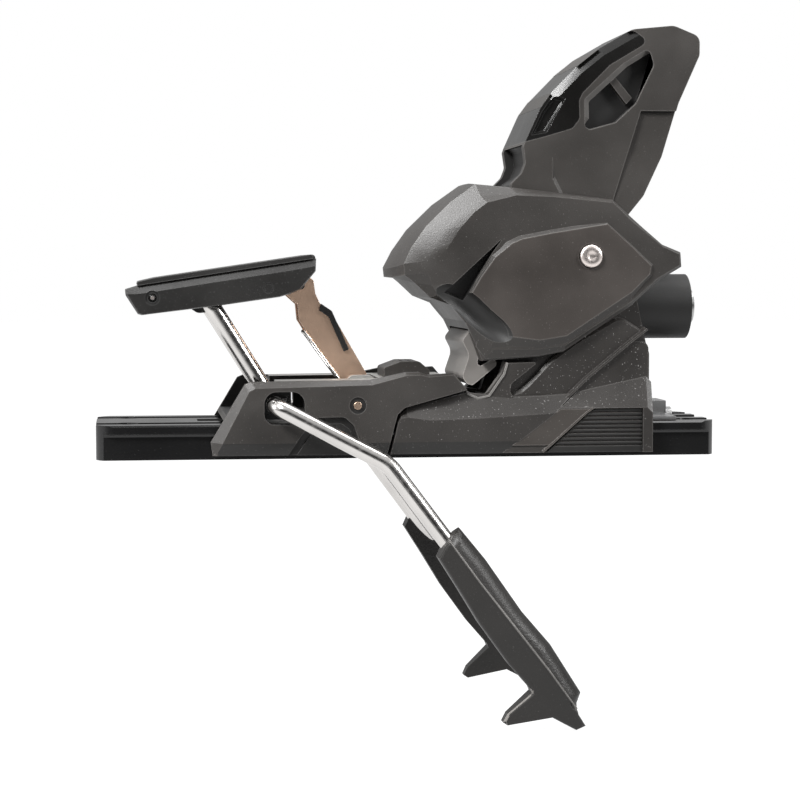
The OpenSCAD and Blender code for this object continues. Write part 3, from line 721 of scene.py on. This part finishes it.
def build_pedal():
    """Hollow shell with a bevelled rim, lugs for the wires, cheeks for the link, and two bosses."""
    body = mirrored("pedal_body_piece", ((25, PEDAL_SIDE), (24.9, PEDAL_SIDE), (23.2, PEDAL_FULL),
                                         (0, PEDAL_FULL)), "pedal")
    hollow = [(-72, 50), (-72, 61.5, 3), (-60, 64.3, 3), (-15, 71), (-15, 50)]
    cut(body, slab("hollow", hollow, -22.6, 22.6, "pedal"))
    lug = [(-64.3, 53.8, 3), (-52.8, 54.8, 3), (-52.8, 67), (-64.3, 65)]
    cheek = [(-29, 62, 1.5), (-22, 63, 1.5), (-22, 71.5), (-29, 70.5)]
    for s in SIDES:
        add(body, side_slab("lug", lug, 8.5, 14.2, s, "pedal"),
            side_slab("cheek", cheek, 9.4, 15.35, s, "pedal"))
        cut(body, side_bore(PEDAL_PIN, 2.7, 24.3, 27, s), side_bore(PEDAL_STUD, 2.0, 24.85, 27, s))
        add(body, bore(PEDAL_STUD, 1.5, s * 24, s * 24.93, "pedal"))
    cut(body, box_solid((-36, -8.4, 50), (-15, 8.4, 80)))
    add(body, pin("knob", [(0.9, 20), (1.3, 19.5)], (-19.6, 74.6), "pedal", 32))
    cut(body, bore(WIRE_TOP, WIRE + 0.1, -15.2, 15.2), bore(LINK_TOP, 2.0, -15.35, 15.35),
        bore(PEDAL_PIN, 1.6, -26, 26))
    place(soften(body, 0.4, 24), "pedal", "pedal_body")


def build_pedal_plate():
    """Tread plate with a grid of shallow steps."""
    rows = [(-84.6, 64.3, 0.4), (-84.4, 65.8, 0.8), (-78, 67.3, 2), (-19.6, 76.0, 0.8), (-19.4, 74.3, 0.2)]
    plate = slab("pedal_plate_piece", rows, -24.2, 24.2, "pedal_top")
    slope = 0.149
    for i in range(9):
        x = -76 + i * 6.4
        z = 67.3 + (x + 78) * slope
        step = [(x - 1.6, z - 0.35), (x + 1.6, z + 0.1), (x + 1.6, z + 2), (x - 1.6, z + 2)]
        for y in (-15.5, -5.2, 5.2, 15.5):
            cut(plate, slab("tread", step, y - 3.8, y + 3.8, "pedal_top"))
    place(soften(plate, 0.3), "pedal", "pedal_plate")


def build_pedal_pins():
    """End pin with a bright centre, and the link's upper pin."""
    end = [(0.7, 24.8), (0.95, 24.6), (0.95, 24.3), (1.55, 24.29)]
    roller = soften(pin("pedal_pin_piece", end, PEDAL_PIN, "gloss"), 0)
    x, z = PEDAL_PIN
    paint(roller, "rivet", lambda c: abs(c.y) > 24.5 and math.hypot(c.x - x, c.z - z) < 0.8)
    place(roller, "pedal", "pedal_pin")
    link_pin = pin("link_top_pin_piece", [(1.7, 15.35), (2, 15)], LINK_TOP, "steel")
    place(soften(link_pin, 0), "pedal", "link_top_pin")


# ---- spring of the support link

LINK_LEG = [(-21.9, -6.6, 46.6), (-22.3, -8.8, 47.3), (-20.6, -8.8, 45.2), (-8.6, -8.8, 28.8)]


def build_link_spring():
    """The CAD coil with a stouter leg, hooked over the front edge of the link."""
    piece = from_cad("link_spring", "chrome", 0)
    add(piece, tube("leg", bent(LINK_LEG, ((1.2, 6), (3, 6))), 0.8, "chrome", 20))


# ---- heel base

BASE_SKIRT = [(8.6, 1.7), (11.4, 13.6), (12.4, 15.2), (15, 15.6), (23.3, 14.4), (39.5, 14.8), (69.3, 16.6),
              (76, 18.0), (88, 18.4), (106, 18.6), (108, 16.5), (108, 1.7)]
BASE_SHOULDER = [(8.6, 1.7), (11.2, 14.2), (12.3, 16.6), (14.6, 18.6), (25, 21.3), (38.2, 24.4),
                 (55.0, 22.6), (66, 22.9), (76, 23.6), (106, 30.0), (108, 28), (108, 1.7)]
TOWER = [(44, 16), (50, 24, 2), (54, 37.5, 2), (66, 54, 4), (74.6, 77, 8), (79, 84.6, 6), (89, 84.6, 6),
         (94, 75, 6), (103, 60, 4), (107, 42, 4), (107, 16)]
FLANK = [(46, 15), (49, 22, 2), (58.5, 25.4, 2.5), (62.0, 28.6, 3), (69.5, 36.5, 4), (80, 44, 4),
         (96, 53, 5), (104, 48, 4), (107, 40, 4), (107, 15)]
LOBE = [(36.9, 20), (38.2, 24.3, 1), (41.9, 22.8, 2), (45.6, 23.8, 3), (51.0, 31.4, 2), (52.3, 35.4, 1),
        (64.6, 35.6, 0.5), (54.4, 27.6, 2.2), (53.9, 24.3, 2.2), (56.5, 21.4)]
REAR_SKIN = [(70.5, 16), (76.4, 22.4, 1), (83.4, 29.2, 2), (100.4, 43.2, 2), (107, 43.4, 3), (107, 16)]
TAIL_WAY = [(10.4, 12), (11.0, 16.9, 2), (13.6, 18.4, 2), (38.2, 24.9, 0.5), (41, 32), (8, 32)]
TRIM_SEAT = [(50.2, 1.0), (70.0, 15.9, 1.5), (72.6, 18.3, 0.4), (84.2, 18.3), (104.2, 18.3), (104.2, 1.0)]
LEDGE = [(70.6, 16.6), (76.4, 22.3), (83.3, 28.9), (100.6, 43.1), (106.5, 47.5)]
SEAM = [(69.9, 16.2), (76.2, 22.0), (83.2, 28.5), (100.8, 42.7), (108, 48.2)]
LOBE_RIM = [(37.6, 23.6), (41.8, 21.9), (46.2, 22.9), (51.9, 31.0), (53.2, 35.4)]
TRIM = [(50.4, 1.8, 0.2), (70.2, 16.4, 1.5), (72.8, 18.1, 0.4), (84.0, 18.1, 0.4), (82.8, 16.8, 1),
        (66.4, 1.8, 0.2)]
RIB_PANEL = [(67.4, 1.8, 0.2), (84.2, 17.1, 1.2), (86.4, 18.1, 0.5), (104.1, 18.1, 0.6), (104.1, 1.8, 0.2)]


def build_base():
    """Skirt with a lower band, shoulder, two towers with scooped flanks, front lobe and rear skin."""
    body = mirrored("heel_base_piece", ((HALF, BASE_SKIRT), (31.9, BASE_SKIRT), (28.7, BASE_SHOULDER),
                                        (0, BASE_SHOULDER)), "base")
    for s in SIDES:
        cut(body, keel_cut(0, 69, s))
    scooped = [(row[0] + 0.5, row[1] - 1.2, *row[2:]) for row in FLANK]
    for s in SIDES:
        add(body, side_slab("tower", TOWER, 14, 24.5, s, "base"),
            layered("flank", ((20, FLANK), (26.2, FLANK), (27.4, scooped)), s, "base", 5),
            side_slab("lobe", LOBE, 22, 28.9, s, "base"),
            side_slab("rear_skin", REAR_SKIN, 24, 28.3, s, "base"))
    cut(body, rail_way(0, 120), box_solid((40, -14, 13.7), (83.8, 14, 60)),
        box_solid((83.7, -14, 13.7), (120, 14, 60)), box_solid((0, -26.6, 13.7), (43, 26.6, 60)))
    add(body, box_solid((54, -14.1, 14.7), (83.8, 14.1, 17.7)))
    for s in SIDES:
        cut(body, lathe("spring_bore", [(3.9, 71.4), (3.9, 99)], (0, s * 19.2, 19), "X", "base", 32),
            side_box((71.4, 15.3, 13.7), (99, 23.1, 19.4), s),
            side_box((89.2, 15.1, 13.7), (99.6, 23.3, 23.8), s),
            side_slab("tail_way", TAIL_WAY, 26.4, 33, s), side_slab("trim_seat", TRIM_SEAT, 30.0, 34, s))
        add(body, rail_lip(14, 106, s), strip(LEDGE, 1.5, 26, 29.6, s, "base"))
        cut(body, strip(SEAM, -0.45, 28.6, 31, s, "base"))
        add(body, strip(LOBE_RIM, 1.3, 24, 29.4, s, "bevel"))
    cut(body, bore(AXLE, 3.5, -40, 40), bore((78.8, 56), 4, -40, 40))
    place(soften(body, 0.55, 24), "base", "heel_base")


def build_base_sides():
    """Diagonal trims with a raised lip, and ribbed panels behind them."""
    for s, side in NAMED_SIDES:
        trim = side_slab("side_trim_%s_piece" % side, TRIM, 30.0, 31.9, s, "trim")
        cut(trim, side_slab("lower", [(48, 0), (90, 0), (90, 4.6), (48, 4.6)], 31.4, 33, s))
        add(trim, strip([(66.2, 1.8), (82.9, 16.5), (85.2, 18.1)], 1.3, 30.5, HALF, s, "trim"))
        place(soften(trim, 0.35, 24), "base", "side_trim_" + side)
        panel = side_slab("rib_panel_%s_piece" % side, RIB_PANEL, 30.0, 31.3, s, "ribs")
        for i in range(9):
            z = 4.2 + i * 1.55
            cut(panel, side_slab("gap", [(60, z), (110, z), (110, z + 0.7), (60, z + 0.7)], 30.6, 33, s))
        place(soften(panel, 0.18, 24, 2), "base", "rib_panel_" + side)


# ---- heel cup

CUP_REAR = [(93, 96.6), (100.7, 89.8), (112, 79.9), (119.6, 77), (120, 71), (111, 66), (99.3, 56),
            (74, 39.2), (64.7, 37.5)]
CUP = {
    30.7: [(28.6, 75.5), (31, 80), (35, 86), (40, 91.5), (44.9, 95.2), (56, 97.9), (70, 97.4), (92.5, 95.3),
           (99.8, 88.4), (111.5, 79), (118, 76), (118.3, 72), (110, 67.2), (99.5, 58), (74.8, 42),
           (64.7, 40.5), (47.4, 40.5), (42.5, 46.5), (36.5, 53), (31, 58.2), (28.7, 61.9), (30.2, 65.3),
           (30.9, 68.4)],
    29.2: [(22.2, 73.6), (24.6, 78.6), (29.1, 85.4), (36.7, 92.3), (42.7, 97.3), (55.6, 98.9), (70, 98.5),
           (92.8, 96.2), (100.4, 89.2), (111.8, 79.6), (118.8, 76.7), (119.2, 71.4), (110.6, 66.4),
           (99.5, 56.4), (74.1, 39.6), (64.7, 37.8), (43.3, 36.3), (40.4, 43.5), (37.0, 50.5), (31.5, 57),
           (26.7, 60.9), (24.4, 64.5), (22.8, 68.9)],
    26.0: [(14.1, 72.3), (17.0, 78.5), (22.4, 86.2), (31.4, 95.2), (41.0, 102.1), (54, 101.0), (69, 99.4),
           (93, 96.6), (100.7, 89.8), (112, 79.9), (119.4, 76.9), (119.8, 71.2), (111, 66), (99.3, 56),
           (74, 39.2), (64.7, 37.5), (43, 36.2), (40.1, 44), (37.5, 51), (31.5, 58), (24.1, 59.9),
           (18.3, 65.3), (14.5, 68.3)],
    13.0: [(10.8, 71.0), (14.2, 77.5), (20.0, 85.6), (30.0, 95.3), (40.6, 102.8), (54, 101.5), (69, 99.5),
           *CUP_REAR, (43, 36.2), (39.9, 44.5), (37.8, 50.8), (31.5, 58.8), (22.8, 59.9), (17.7, 66.6),
           (11.2, 67.4)],
    0.0: [(9.9, 70.6), (13.4, 77.0), (19.2, 85.2), (29.5, 95.2), (40.5, 102.9), (54, 101.5), (69, 99.5),
          *CUP_REAR, (43, 36.2), (39.7, 45), (37.8, 50.8), (31.5, 58.9), (22.6, 59.9), (17.7, 66.8),
          (10.6, 67.4)],
}
BELT_OUTER = [(36.0, 58.4), (41.2, 68.2), (46.0, 76.2), (50.3, 81.0), (56.0, 83.8), (67.8, 86.0),
              (90.2, 88.2), (100.8, 79.2), (108.4, 72.6), (108.4, 67.8), (99.5, 56.8), (74.1, 40.0),
              (64.7, 38.2), (44.5, 37.0), (41.0, 41.5), (41.6, 47.0)]
BELT_INNER = [(37.4, 58.8), (42.6, 67.6), (47.8, 74.8), (54.2, 80.0), (58.0, 81.6), (69.4, 83.8),
              (90.2, 87.2), (100.0, 78.4), (107.0, 71.6), (106.4, 68.6), (99.5, 61.8), (74.8, 45.6),
              (64.7, 44.0), (48.4, 46.0), (47.4, 47.0), (46.4, 49.0)]
RECESS = [(27.6, 60.9), (51.2, 82.6), (46.9, 76.6), (41.6, 68.0), (35.6, 57.4)]
CHANNEL = [(20, 35.5, 57.5), (26, 34.4, 60.4), (31.5, 33.6, 60.2), (37.4, 33.3, 56.4), (42.6, 33.6, 51.6),
           (48, 34.8, 47.6), (52, 36.8, 45.0)]
SIDE_WAY = [(46, 34), (46, 50, 4), (57, 62, 4), (66, 80, 4), (66, 86.4), (52, 86.4), (52, 110), (130, 110),
            (130, 34)]
MIDDLE_WAY = [(71, 34), (71, 69, 2), (112, 69), (112, 86.4), (52, 86.4), (52, 110), (130, 110), (130, 34)]
TREADLE_SEAT = [(30, 48), (45.9, 48), (45.9, 37.7), (50.5, 37.7), (50.5, 30), (30, 30)]


def channel(s):
    """The scoop that runs under the side panel to the jaw."""
    return tube("channel", smooth_path([on_side(p, s) for p in CHANNEL], 6), 5.4, "dark", 32, False)


def build_cup():
    """Faceted hood and jaw, chamfered belt round the side panel, recess and scoop in front of it."""
    body = mirrored("cup_shell_piece", sorted(CUP.items(), reverse=True), "housing")
    for s in SIDES:
        add(body, layered("belt", ((27, BELT_OUTER), (29.6, BELT_OUTER), (HALF, BELT_INNER)), s, "housing"))
        # The recess walls take the near-black dark plastic: painted shade in the recess.
        cut(body, layered("recess", ((25.4, shrunk(RECESS, 0.16)), (33.5, RECESS)), s, "dark"), channel(s))
    for s in SIDES:
        cut(body, side_slab("side_way", SIDE_WAY, 13.4, 25, s))
    cut(body, slab("middle_way", MIDDLE_WAY, -13.5, 13.5), slab("treadle_seat", TREADLE_SEAT, -23.5, 23.5),
        bore(AXLE, 3.55, -40, 40), bore(LEVER_AXLE, 2.5, -30, 30))
    for s in SIDES:
        cut(body, side_slab("seat", BELT_INNER, 31.0, 33, s), side_bore(AXLE, 4.7, 31.6, 34, s))
    place(soften(body, 0.55, 22), "cup", "cup_shell")


def build_cup_sides():
    """Smooth panels on the cup's flanks, and the main axle's stepped heads."""
    for s, side in NAMED_SIDES:
        panel = side_slab("cup_panel_%s_piece" % side, BELT_INNER, 31.0, HALF, s, "panel")
        cut(panel, side_bore(AXLE, 4.65, 29, 34, s), channel(s))
        place(soften(panel, 0.12, 30, 2), "cup", "cup_panel_" + side)
    head = [(0.001, 33.3), (1.1, 33.35), (1.6, 33.6), (2.6, 33.7), (3.6, 33.5), (4.15, 33.1), (4.35, 32.6),
            (4.35, 32.05), (3.5, 32.0)]
    place(soften(pin("main_axle_piece", head, AXLE, "rivet", 64), 0), "cup", "main_axle")


TREADLE = [(39.4, 47.4, 0.6), (36.6, 43.6, 2.0), (39.4, 38.2, 5.0), (36.6, 30.0, 2.4), (38.4, 27.4, 1.5),
           (40.6, 26.8, 1.2), (50.0, 34.4, 1.8), (48.8, 37.4, 1.6), (42.0, 32.8, 1.2), (43.2, 40, 1),
           (45.8, 40), (45.8, 47.9)]


def build_treadle():
    """Curved plate under the jaw, with a lower lip."""
    piece = slab("treadle_piece", TREADLE, -23.4, 23.4, "treadle")
    place(soften(piece, 0.5, 26), "cup", "treadle")


# ---- lever

LEVER = [(60, 88, 3), (54.8, 96, 3), (55.1, 102.4, 1.5), (59, 106.3, 3), (60.5, 110.2, 3),
         (59.6, 116.2, 1.2), (60.3, 118.2, 0.5), (65.9, 130.7, 4), (70.2, 136.5, 4), (79.8, 146.3, 6),
         (88.5, 153.2, 6), (101, 160.4, 7), (117, 162, 6), (127, 158, 3.5), (127, 151, 4), (119, 133, 10),
         (113, 113, 8), (106, 98, 5), (97, 87, 5)]
INSERT = [(60.2, 118.1), (65.9, 130.7, 4), (70.2, 136.5, 4), (79.8, 146.3, 6), (88.5, 153.2, 6),
          (100.8, 160.3, 3), (107.5, 156.0, 2), (92.5, 147.0, 3), (82.2, 136.6, 2), (80.8, 133.8, 2),
          (81.0, 126.8, 3), (78.2, 123.2, 2.5), (67.1, 119.9)]
INSERT_TOP = [(68.8, 135.1), (79.8, 146.3), (88.5, 153.2), (102.5, 161.3)]
GROOVE_OUTER = [(62.6, 120.6), (66.6, 129.2), (70.9, 135.6), (75.6, 134.2), (72.2, 128.6), (68.4, 121.6)]
GROOVE_INNER = [(64.2, 121.6), (67.6, 128.8), (71.4, 134.0), (74.4, 133.6), (71.2, 128.4), (67.6, 122.4)]
POCKET = [(82.8, 134.2, 1.5), (82.9, 128, 2), (83.0, 123.6, 2), (85.0, 122.7, 1.5), (94.8, 125.4, 3),
          (102.5, 132.5, 4), (109.5, 147, 3), (107.5, 153.6, 2), (97.6, 147.6, 2)]
FRONT = [(48, 99), (57.0, 99), (57.6, 102.6, 2), (62.2, 106.0, 3), (64.0, 110.2, 3), (63.0, 115.6, 2),
         (61.5, 117.2), (48, 117.2)]
INSIDE = [(66, 80), (64, 98, 3), (70, 116, 3), (106, 116, 4), (101, 104, 3), (97, 99, 2), (84, 99, 2),
          (84, 80)]
THUMB = [(128, 138), (112, 128, 3), (104, 120, 3), (104, 126, 3), (112, 148, 3), (128, 149)]
POCKET_RIB = [(91.6, 142.4), (94.0, 144.0), (101.5, 135.0), (99.4, 132.6)]
REAR_STEP = [(96.0, 86), (94.3, 96.7, 3), (98.9, 112, 6), (104.5, 130), (130, 130), (112, 86)]
FLANK_STEP = [(70.6, 24.05, 113), (70.0, 25, 113), (71.8, 22.9, 105.0), (69.9, 25, 103.4),
              (79.8, 22.9, 98.2), (77.8, 25, 96.0), (79.4, 22.9, 90), (79.4, 25, 90), (112, 24.05, 118),
              (112, 25, 118), (112, 22.9, 90), (112, 25, 90)]


def edge_cut(chain, s):
    """Takes the outer edge off along a chain: 3.2 mm wide on the face, 1.8 mm deep at the rim."""
    profile = ((3.2, LEVER_HALF + 0.05), (0, 22.2), (-2, 22.2), (-2, 26), (3.2, 26))
    points = [Vector(p) for p in chain]
    sections = []
    for i, p in enumerate(points):
        along = direction(points, i)
        sections.append([(p.x + k * along.y, s * y, p.y - k * along.x) for k, y in profile])
    return loft("edge", sections, "gloss")


def pocket(s):
    """Two cutters: the pocket's light sloping walls, deeper to its lower right, and its dark floor."""
    outer = rounded(POCKET, 5)
    inner = []
    for p in outer:
        upper_left = (p.x - 94.5) * 0.72 - (p.y - 137.0) * 0.7 < 0
        inner.append(p + Vector((2.0, -0.9) if upper_left else (0.2, 0.4)))
    rings = [[[(p.x, s * y, p.y) for p in ring] for y, ring in layers] for layers in (
        ((24.6, outer), (23.9, outer), (22.0, inner)), ((22.5, inner), (18.5, inner)))]
    return loft("pocket", rings[0], "bevel"), loft("pocket_floor", rings[1], "dark")


def build_lever():
    """Shell with a dark front recess, open underside, thumb hollow, side pockets and stepped flanks."""
    body = slab("lever_shell_piece", LEVER, -LEVER_HALF, LEVER_HALF, "lever", 6)
    cut(body, slab("front", FRONT, -19.5, 19.5, "dark"), slab("inside", INSIDE, -20, 20, "dark"),
        slab("thumb", THUMB, -19, 19, "dark"), slab("seat", INSERT, -25, 25, "lever"))
    for s in SIDES:
        cut(body, *pocket(s))
        add(body, side_slab("rib", POCKET_RIB, 17.5, 21.5, s, "lever"))
        cut(body, hull([on_side(p, s) for p in FLANK_STEP], "lever"),
            side_slab("rear_step", REAR_STEP, 22.4, 26, s, "lever"))
    cut(body, bore(LEVER_AXLE, 2.55, -40, 40))
    place(soften(body, 0.6, 22), "lever", "lever_shell")


def build_insert():
    """Glossy insert in the lever's front, with a groove on each flank and its top edge taken off."""
    rows = [(row[0] + 0.06, *row[1:]) for row in INSERT]
    insert = slab("lever_insert_piece", rows, -LEVER_HALF, LEVER_HALF, "gloss", 6)
    for s in SIDES:
        groove = ((24.5, GROOVE_OUTER), (23.9, GROOVE_OUTER), (22.4, GROOVE_INNER))
        cut(insert, layered("groove", groove, s, "gloss"), edge_cut(INSERT_TOP, s))
    place(soften(insert, 0.8, 20, 4), "lever", "lever_insert")


for build in (build_rail, build_housing, build_cover, build_wires, build_feet, build_pedal, build_pedal_plate,
              build_pedal_pins, build_link_spring, build_base, build_base_sides, build_cup, build_cup_sides,
              build_treadle, build_lever, build_insert):
    build()

# The pieces that keep the CAD part's own shape: node, material and edge width.
for row in (
        ("rail_rack", "steel", 0.1), ("slide_plate", "steel", 0.2), ("housing_pins", "copper", 0.3),
        ("link_pin", "steel", 0.3), ("brake_lock", "housing", 0.4), ("brake_bushes", "gloss", 0.3),
        ("worm_bracket", "steel", 0.3), ("adjust_screw", "steel", 0.15), ("pressure_springs", "spring", 0),
        ("support_link", "link", 0.4), ("link_tab", "dark", 0.3), ("cam_bar", "steel", 0.3),
        ("spring_barrel", "dark", 0.5), ("lever_axle", "steel", 0.3), ("release_piston", "steel", 0.3),
        ("release_spring", "spring", 0), ("spring_seat", "steel", 0.3), ("release_screw", "steel", 0.3)):
    from_cad(*row)


# ---- stage

def build_floor():
    """White to the camera. To the object it is dim, brighter in reflections and towards the back."""
    z = min(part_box(n)[0].z for n in ("brake_foot_left", "brake_foot_right")) - 0.5 * MM
    wide = 6.0
    mesh = bpy.data.meshes.new("floor")
    square = [(-wide, -wide, z), (wide, -wide, z), (wide, wide, z), (-wide, wide, z)]
    mesh.from_pydata(square, [], [(0, 1, 2, 3)])
    floor = bpy.data.objects.new("floor", mesh)
    bpy.context.scene.collection.objects.link(floor)
    material, nodes, links, shader = new_material("floor")
    mesh.materials.append(material)
    shader.inputs["Roughness"].default_value = 0.9
    tone = ramp(nodes, links, noise(nodes, links, 0.002, 2), [(0.3, 0.9), (0.7, 0.93)])
    links.new(tone, shader.inputs["Base Color"])
    where = nodes.new("ShaderNodeNewGeometry")
    apart = nodes.new("ShaderNodeSeparateXYZ")
    links.new(where.outputs["Position"], apart.inputs["Vector"])
    depth = apart.outputs["Y"]
    ray = nodes.new("ShaderNodeLightPath").outputs
    fade = ranged(nodes, links, depth, -0.75, -0.25, 0.05, 0.85)
    beyond = ranged(nodes, links, depth, 0.5, 1.6, 1.0, 0.3)
    shiny = ranged(nodes, links, ray["Is Glossy Ray"], 0, 1, 0.3, 0.95)
    lit = maths(nodes, links, "MULTIPLY", fade, maths(nodes, links, "MULTIPLY", shiny, beyond))
    plain = maths(nodes, links, "MULTIPLY", ray["Is Camera Ray"], 1.13)
    glow = nodes.new("ShaderNodeEmission")
    links.new(maths(nodes, links, "MAXIMUM", plain, lit), glow.inputs["Strength"])
    blend = nodes.new("ShaderNodeMixShader")
    blend.inputs["Fac"].default_value = 0.86
    links.new(shader.outputs["BSDF"], blend.inputs[1])
    links.new(glow.outputs["Emission"], blend.inputs[2])
    links.new(blend.outputs["Shader"], nodes["Material Output"].inputs["Surface"])


def build_world():
    """The camera sees plain white. The object sees a tent: bright above and behind, dark round the camera."""
    world = bpy.data.worlds.new("studio")
    bpy.context.scene.world = world
    world.use_nodes = True
    nodes, links = world.node_tree.nodes, world.node_tree.links
    toward = nodes.new("ShaderNodeTexCoord")
    parts = nodes.new("ShaderNodeSeparateXYZ")
    links.new(toward.outputs["Generated"], parts.inputs["Vector"])
    above = ranged(nodes, links, parts.outputs["Z"], 0.2, 0.7, 0.03, 0.6, "SMOOTHSTEP")
    behind = ranged(nodes, links, parts.outputs["Y"], -0.15, 0.75, 0.0, 0.35, "SMOOTHSTEP")
    ahead = ranged(nodes, links, parts.outputs["X"], -0.95, -0.55, 0.45, 0.0, "SMOOTHSTEP")
    tent, paper = nodes.new("ShaderNodeBackground"), nodes.new("ShaderNodeBackground")
    for backdrop in (tent, paper):
        backdrop.inputs["Color"].default_value = (1, 1, 1, 1)
    paper.inputs["Strength"].default_value = 1.0
    strength = maths(nodes, links, "ADD", maths(nodes, links, "ADD", above, behind), ahead)
    links.new(strength, tent.inputs["Strength"])
    ray = nodes.new("ShaderNodeLightPath")
    choose = nodes.new("ShaderNodeMixShader")
    links.new(ray.outputs["Is Camera Ray"], choose.inputs["Fac"])
    links.new(tent.outputs["Background"], choose.inputs[1])
    links.new(paper.outputs["Background"], choose.inputs[2])
    links.new(choose.outputs["Shader"], nodes["World Output"].inputs["Surface"])


def aimed(name, data, location, target):
    """A light or camera at location, in metres, that looks at target."""
    obj = bpy.data.objects.new(name, data)
    obj.location = location
    obj.rotation_mode = "QUATERNION"
    obj.rotation_quaternion = (Vector(target) - Vector(location)).to_track_quat("-Z", "Y")
    bpy.context.scene.collection.objects.link(obj)
    return obj


def area_light(name, location, target, size, power):
    data = bpy.data.lights.new(name, "AREA")
    data.shape = "RECTANGLE"
    data.size, data.size_y = size
    data.energy = power
    aimed(name, data, location, target)


def build_camera():
    """The photo's viewing direction, a little further off."""
    data = bpy.data.cameras.new("camera")
    data.lens = 98
    data.sensor_width = 36
    data.clip_start, data.clip_end = 0.01, 30
    return aimed("camera", data, (-0.088, -0.832, 0.071), (0.012, -0.032, 0.022))


build_floor()
build_world()
area_light("key", (-0.55, -0.55, 0.75), (0, 0, 0.03), (0.3, 0.3), 19)
area_light("top", (0.1, 0.1, 0.9), (0.02, 0, 0.05), (0.9, 0.4), 5)
area_light("left", (-0.95, -0.1, 0.3), (0, 0, 0.05), (0.25, 0.5), 3)
area_light("right", (0.75, -0.45, 0.45), (0.05, 0, -0.05), (0.2, 0.4), 7)
bpy.context.scene.camera = build_camera()
bpy.context.scene.view_settings.view_transform = "Standard"
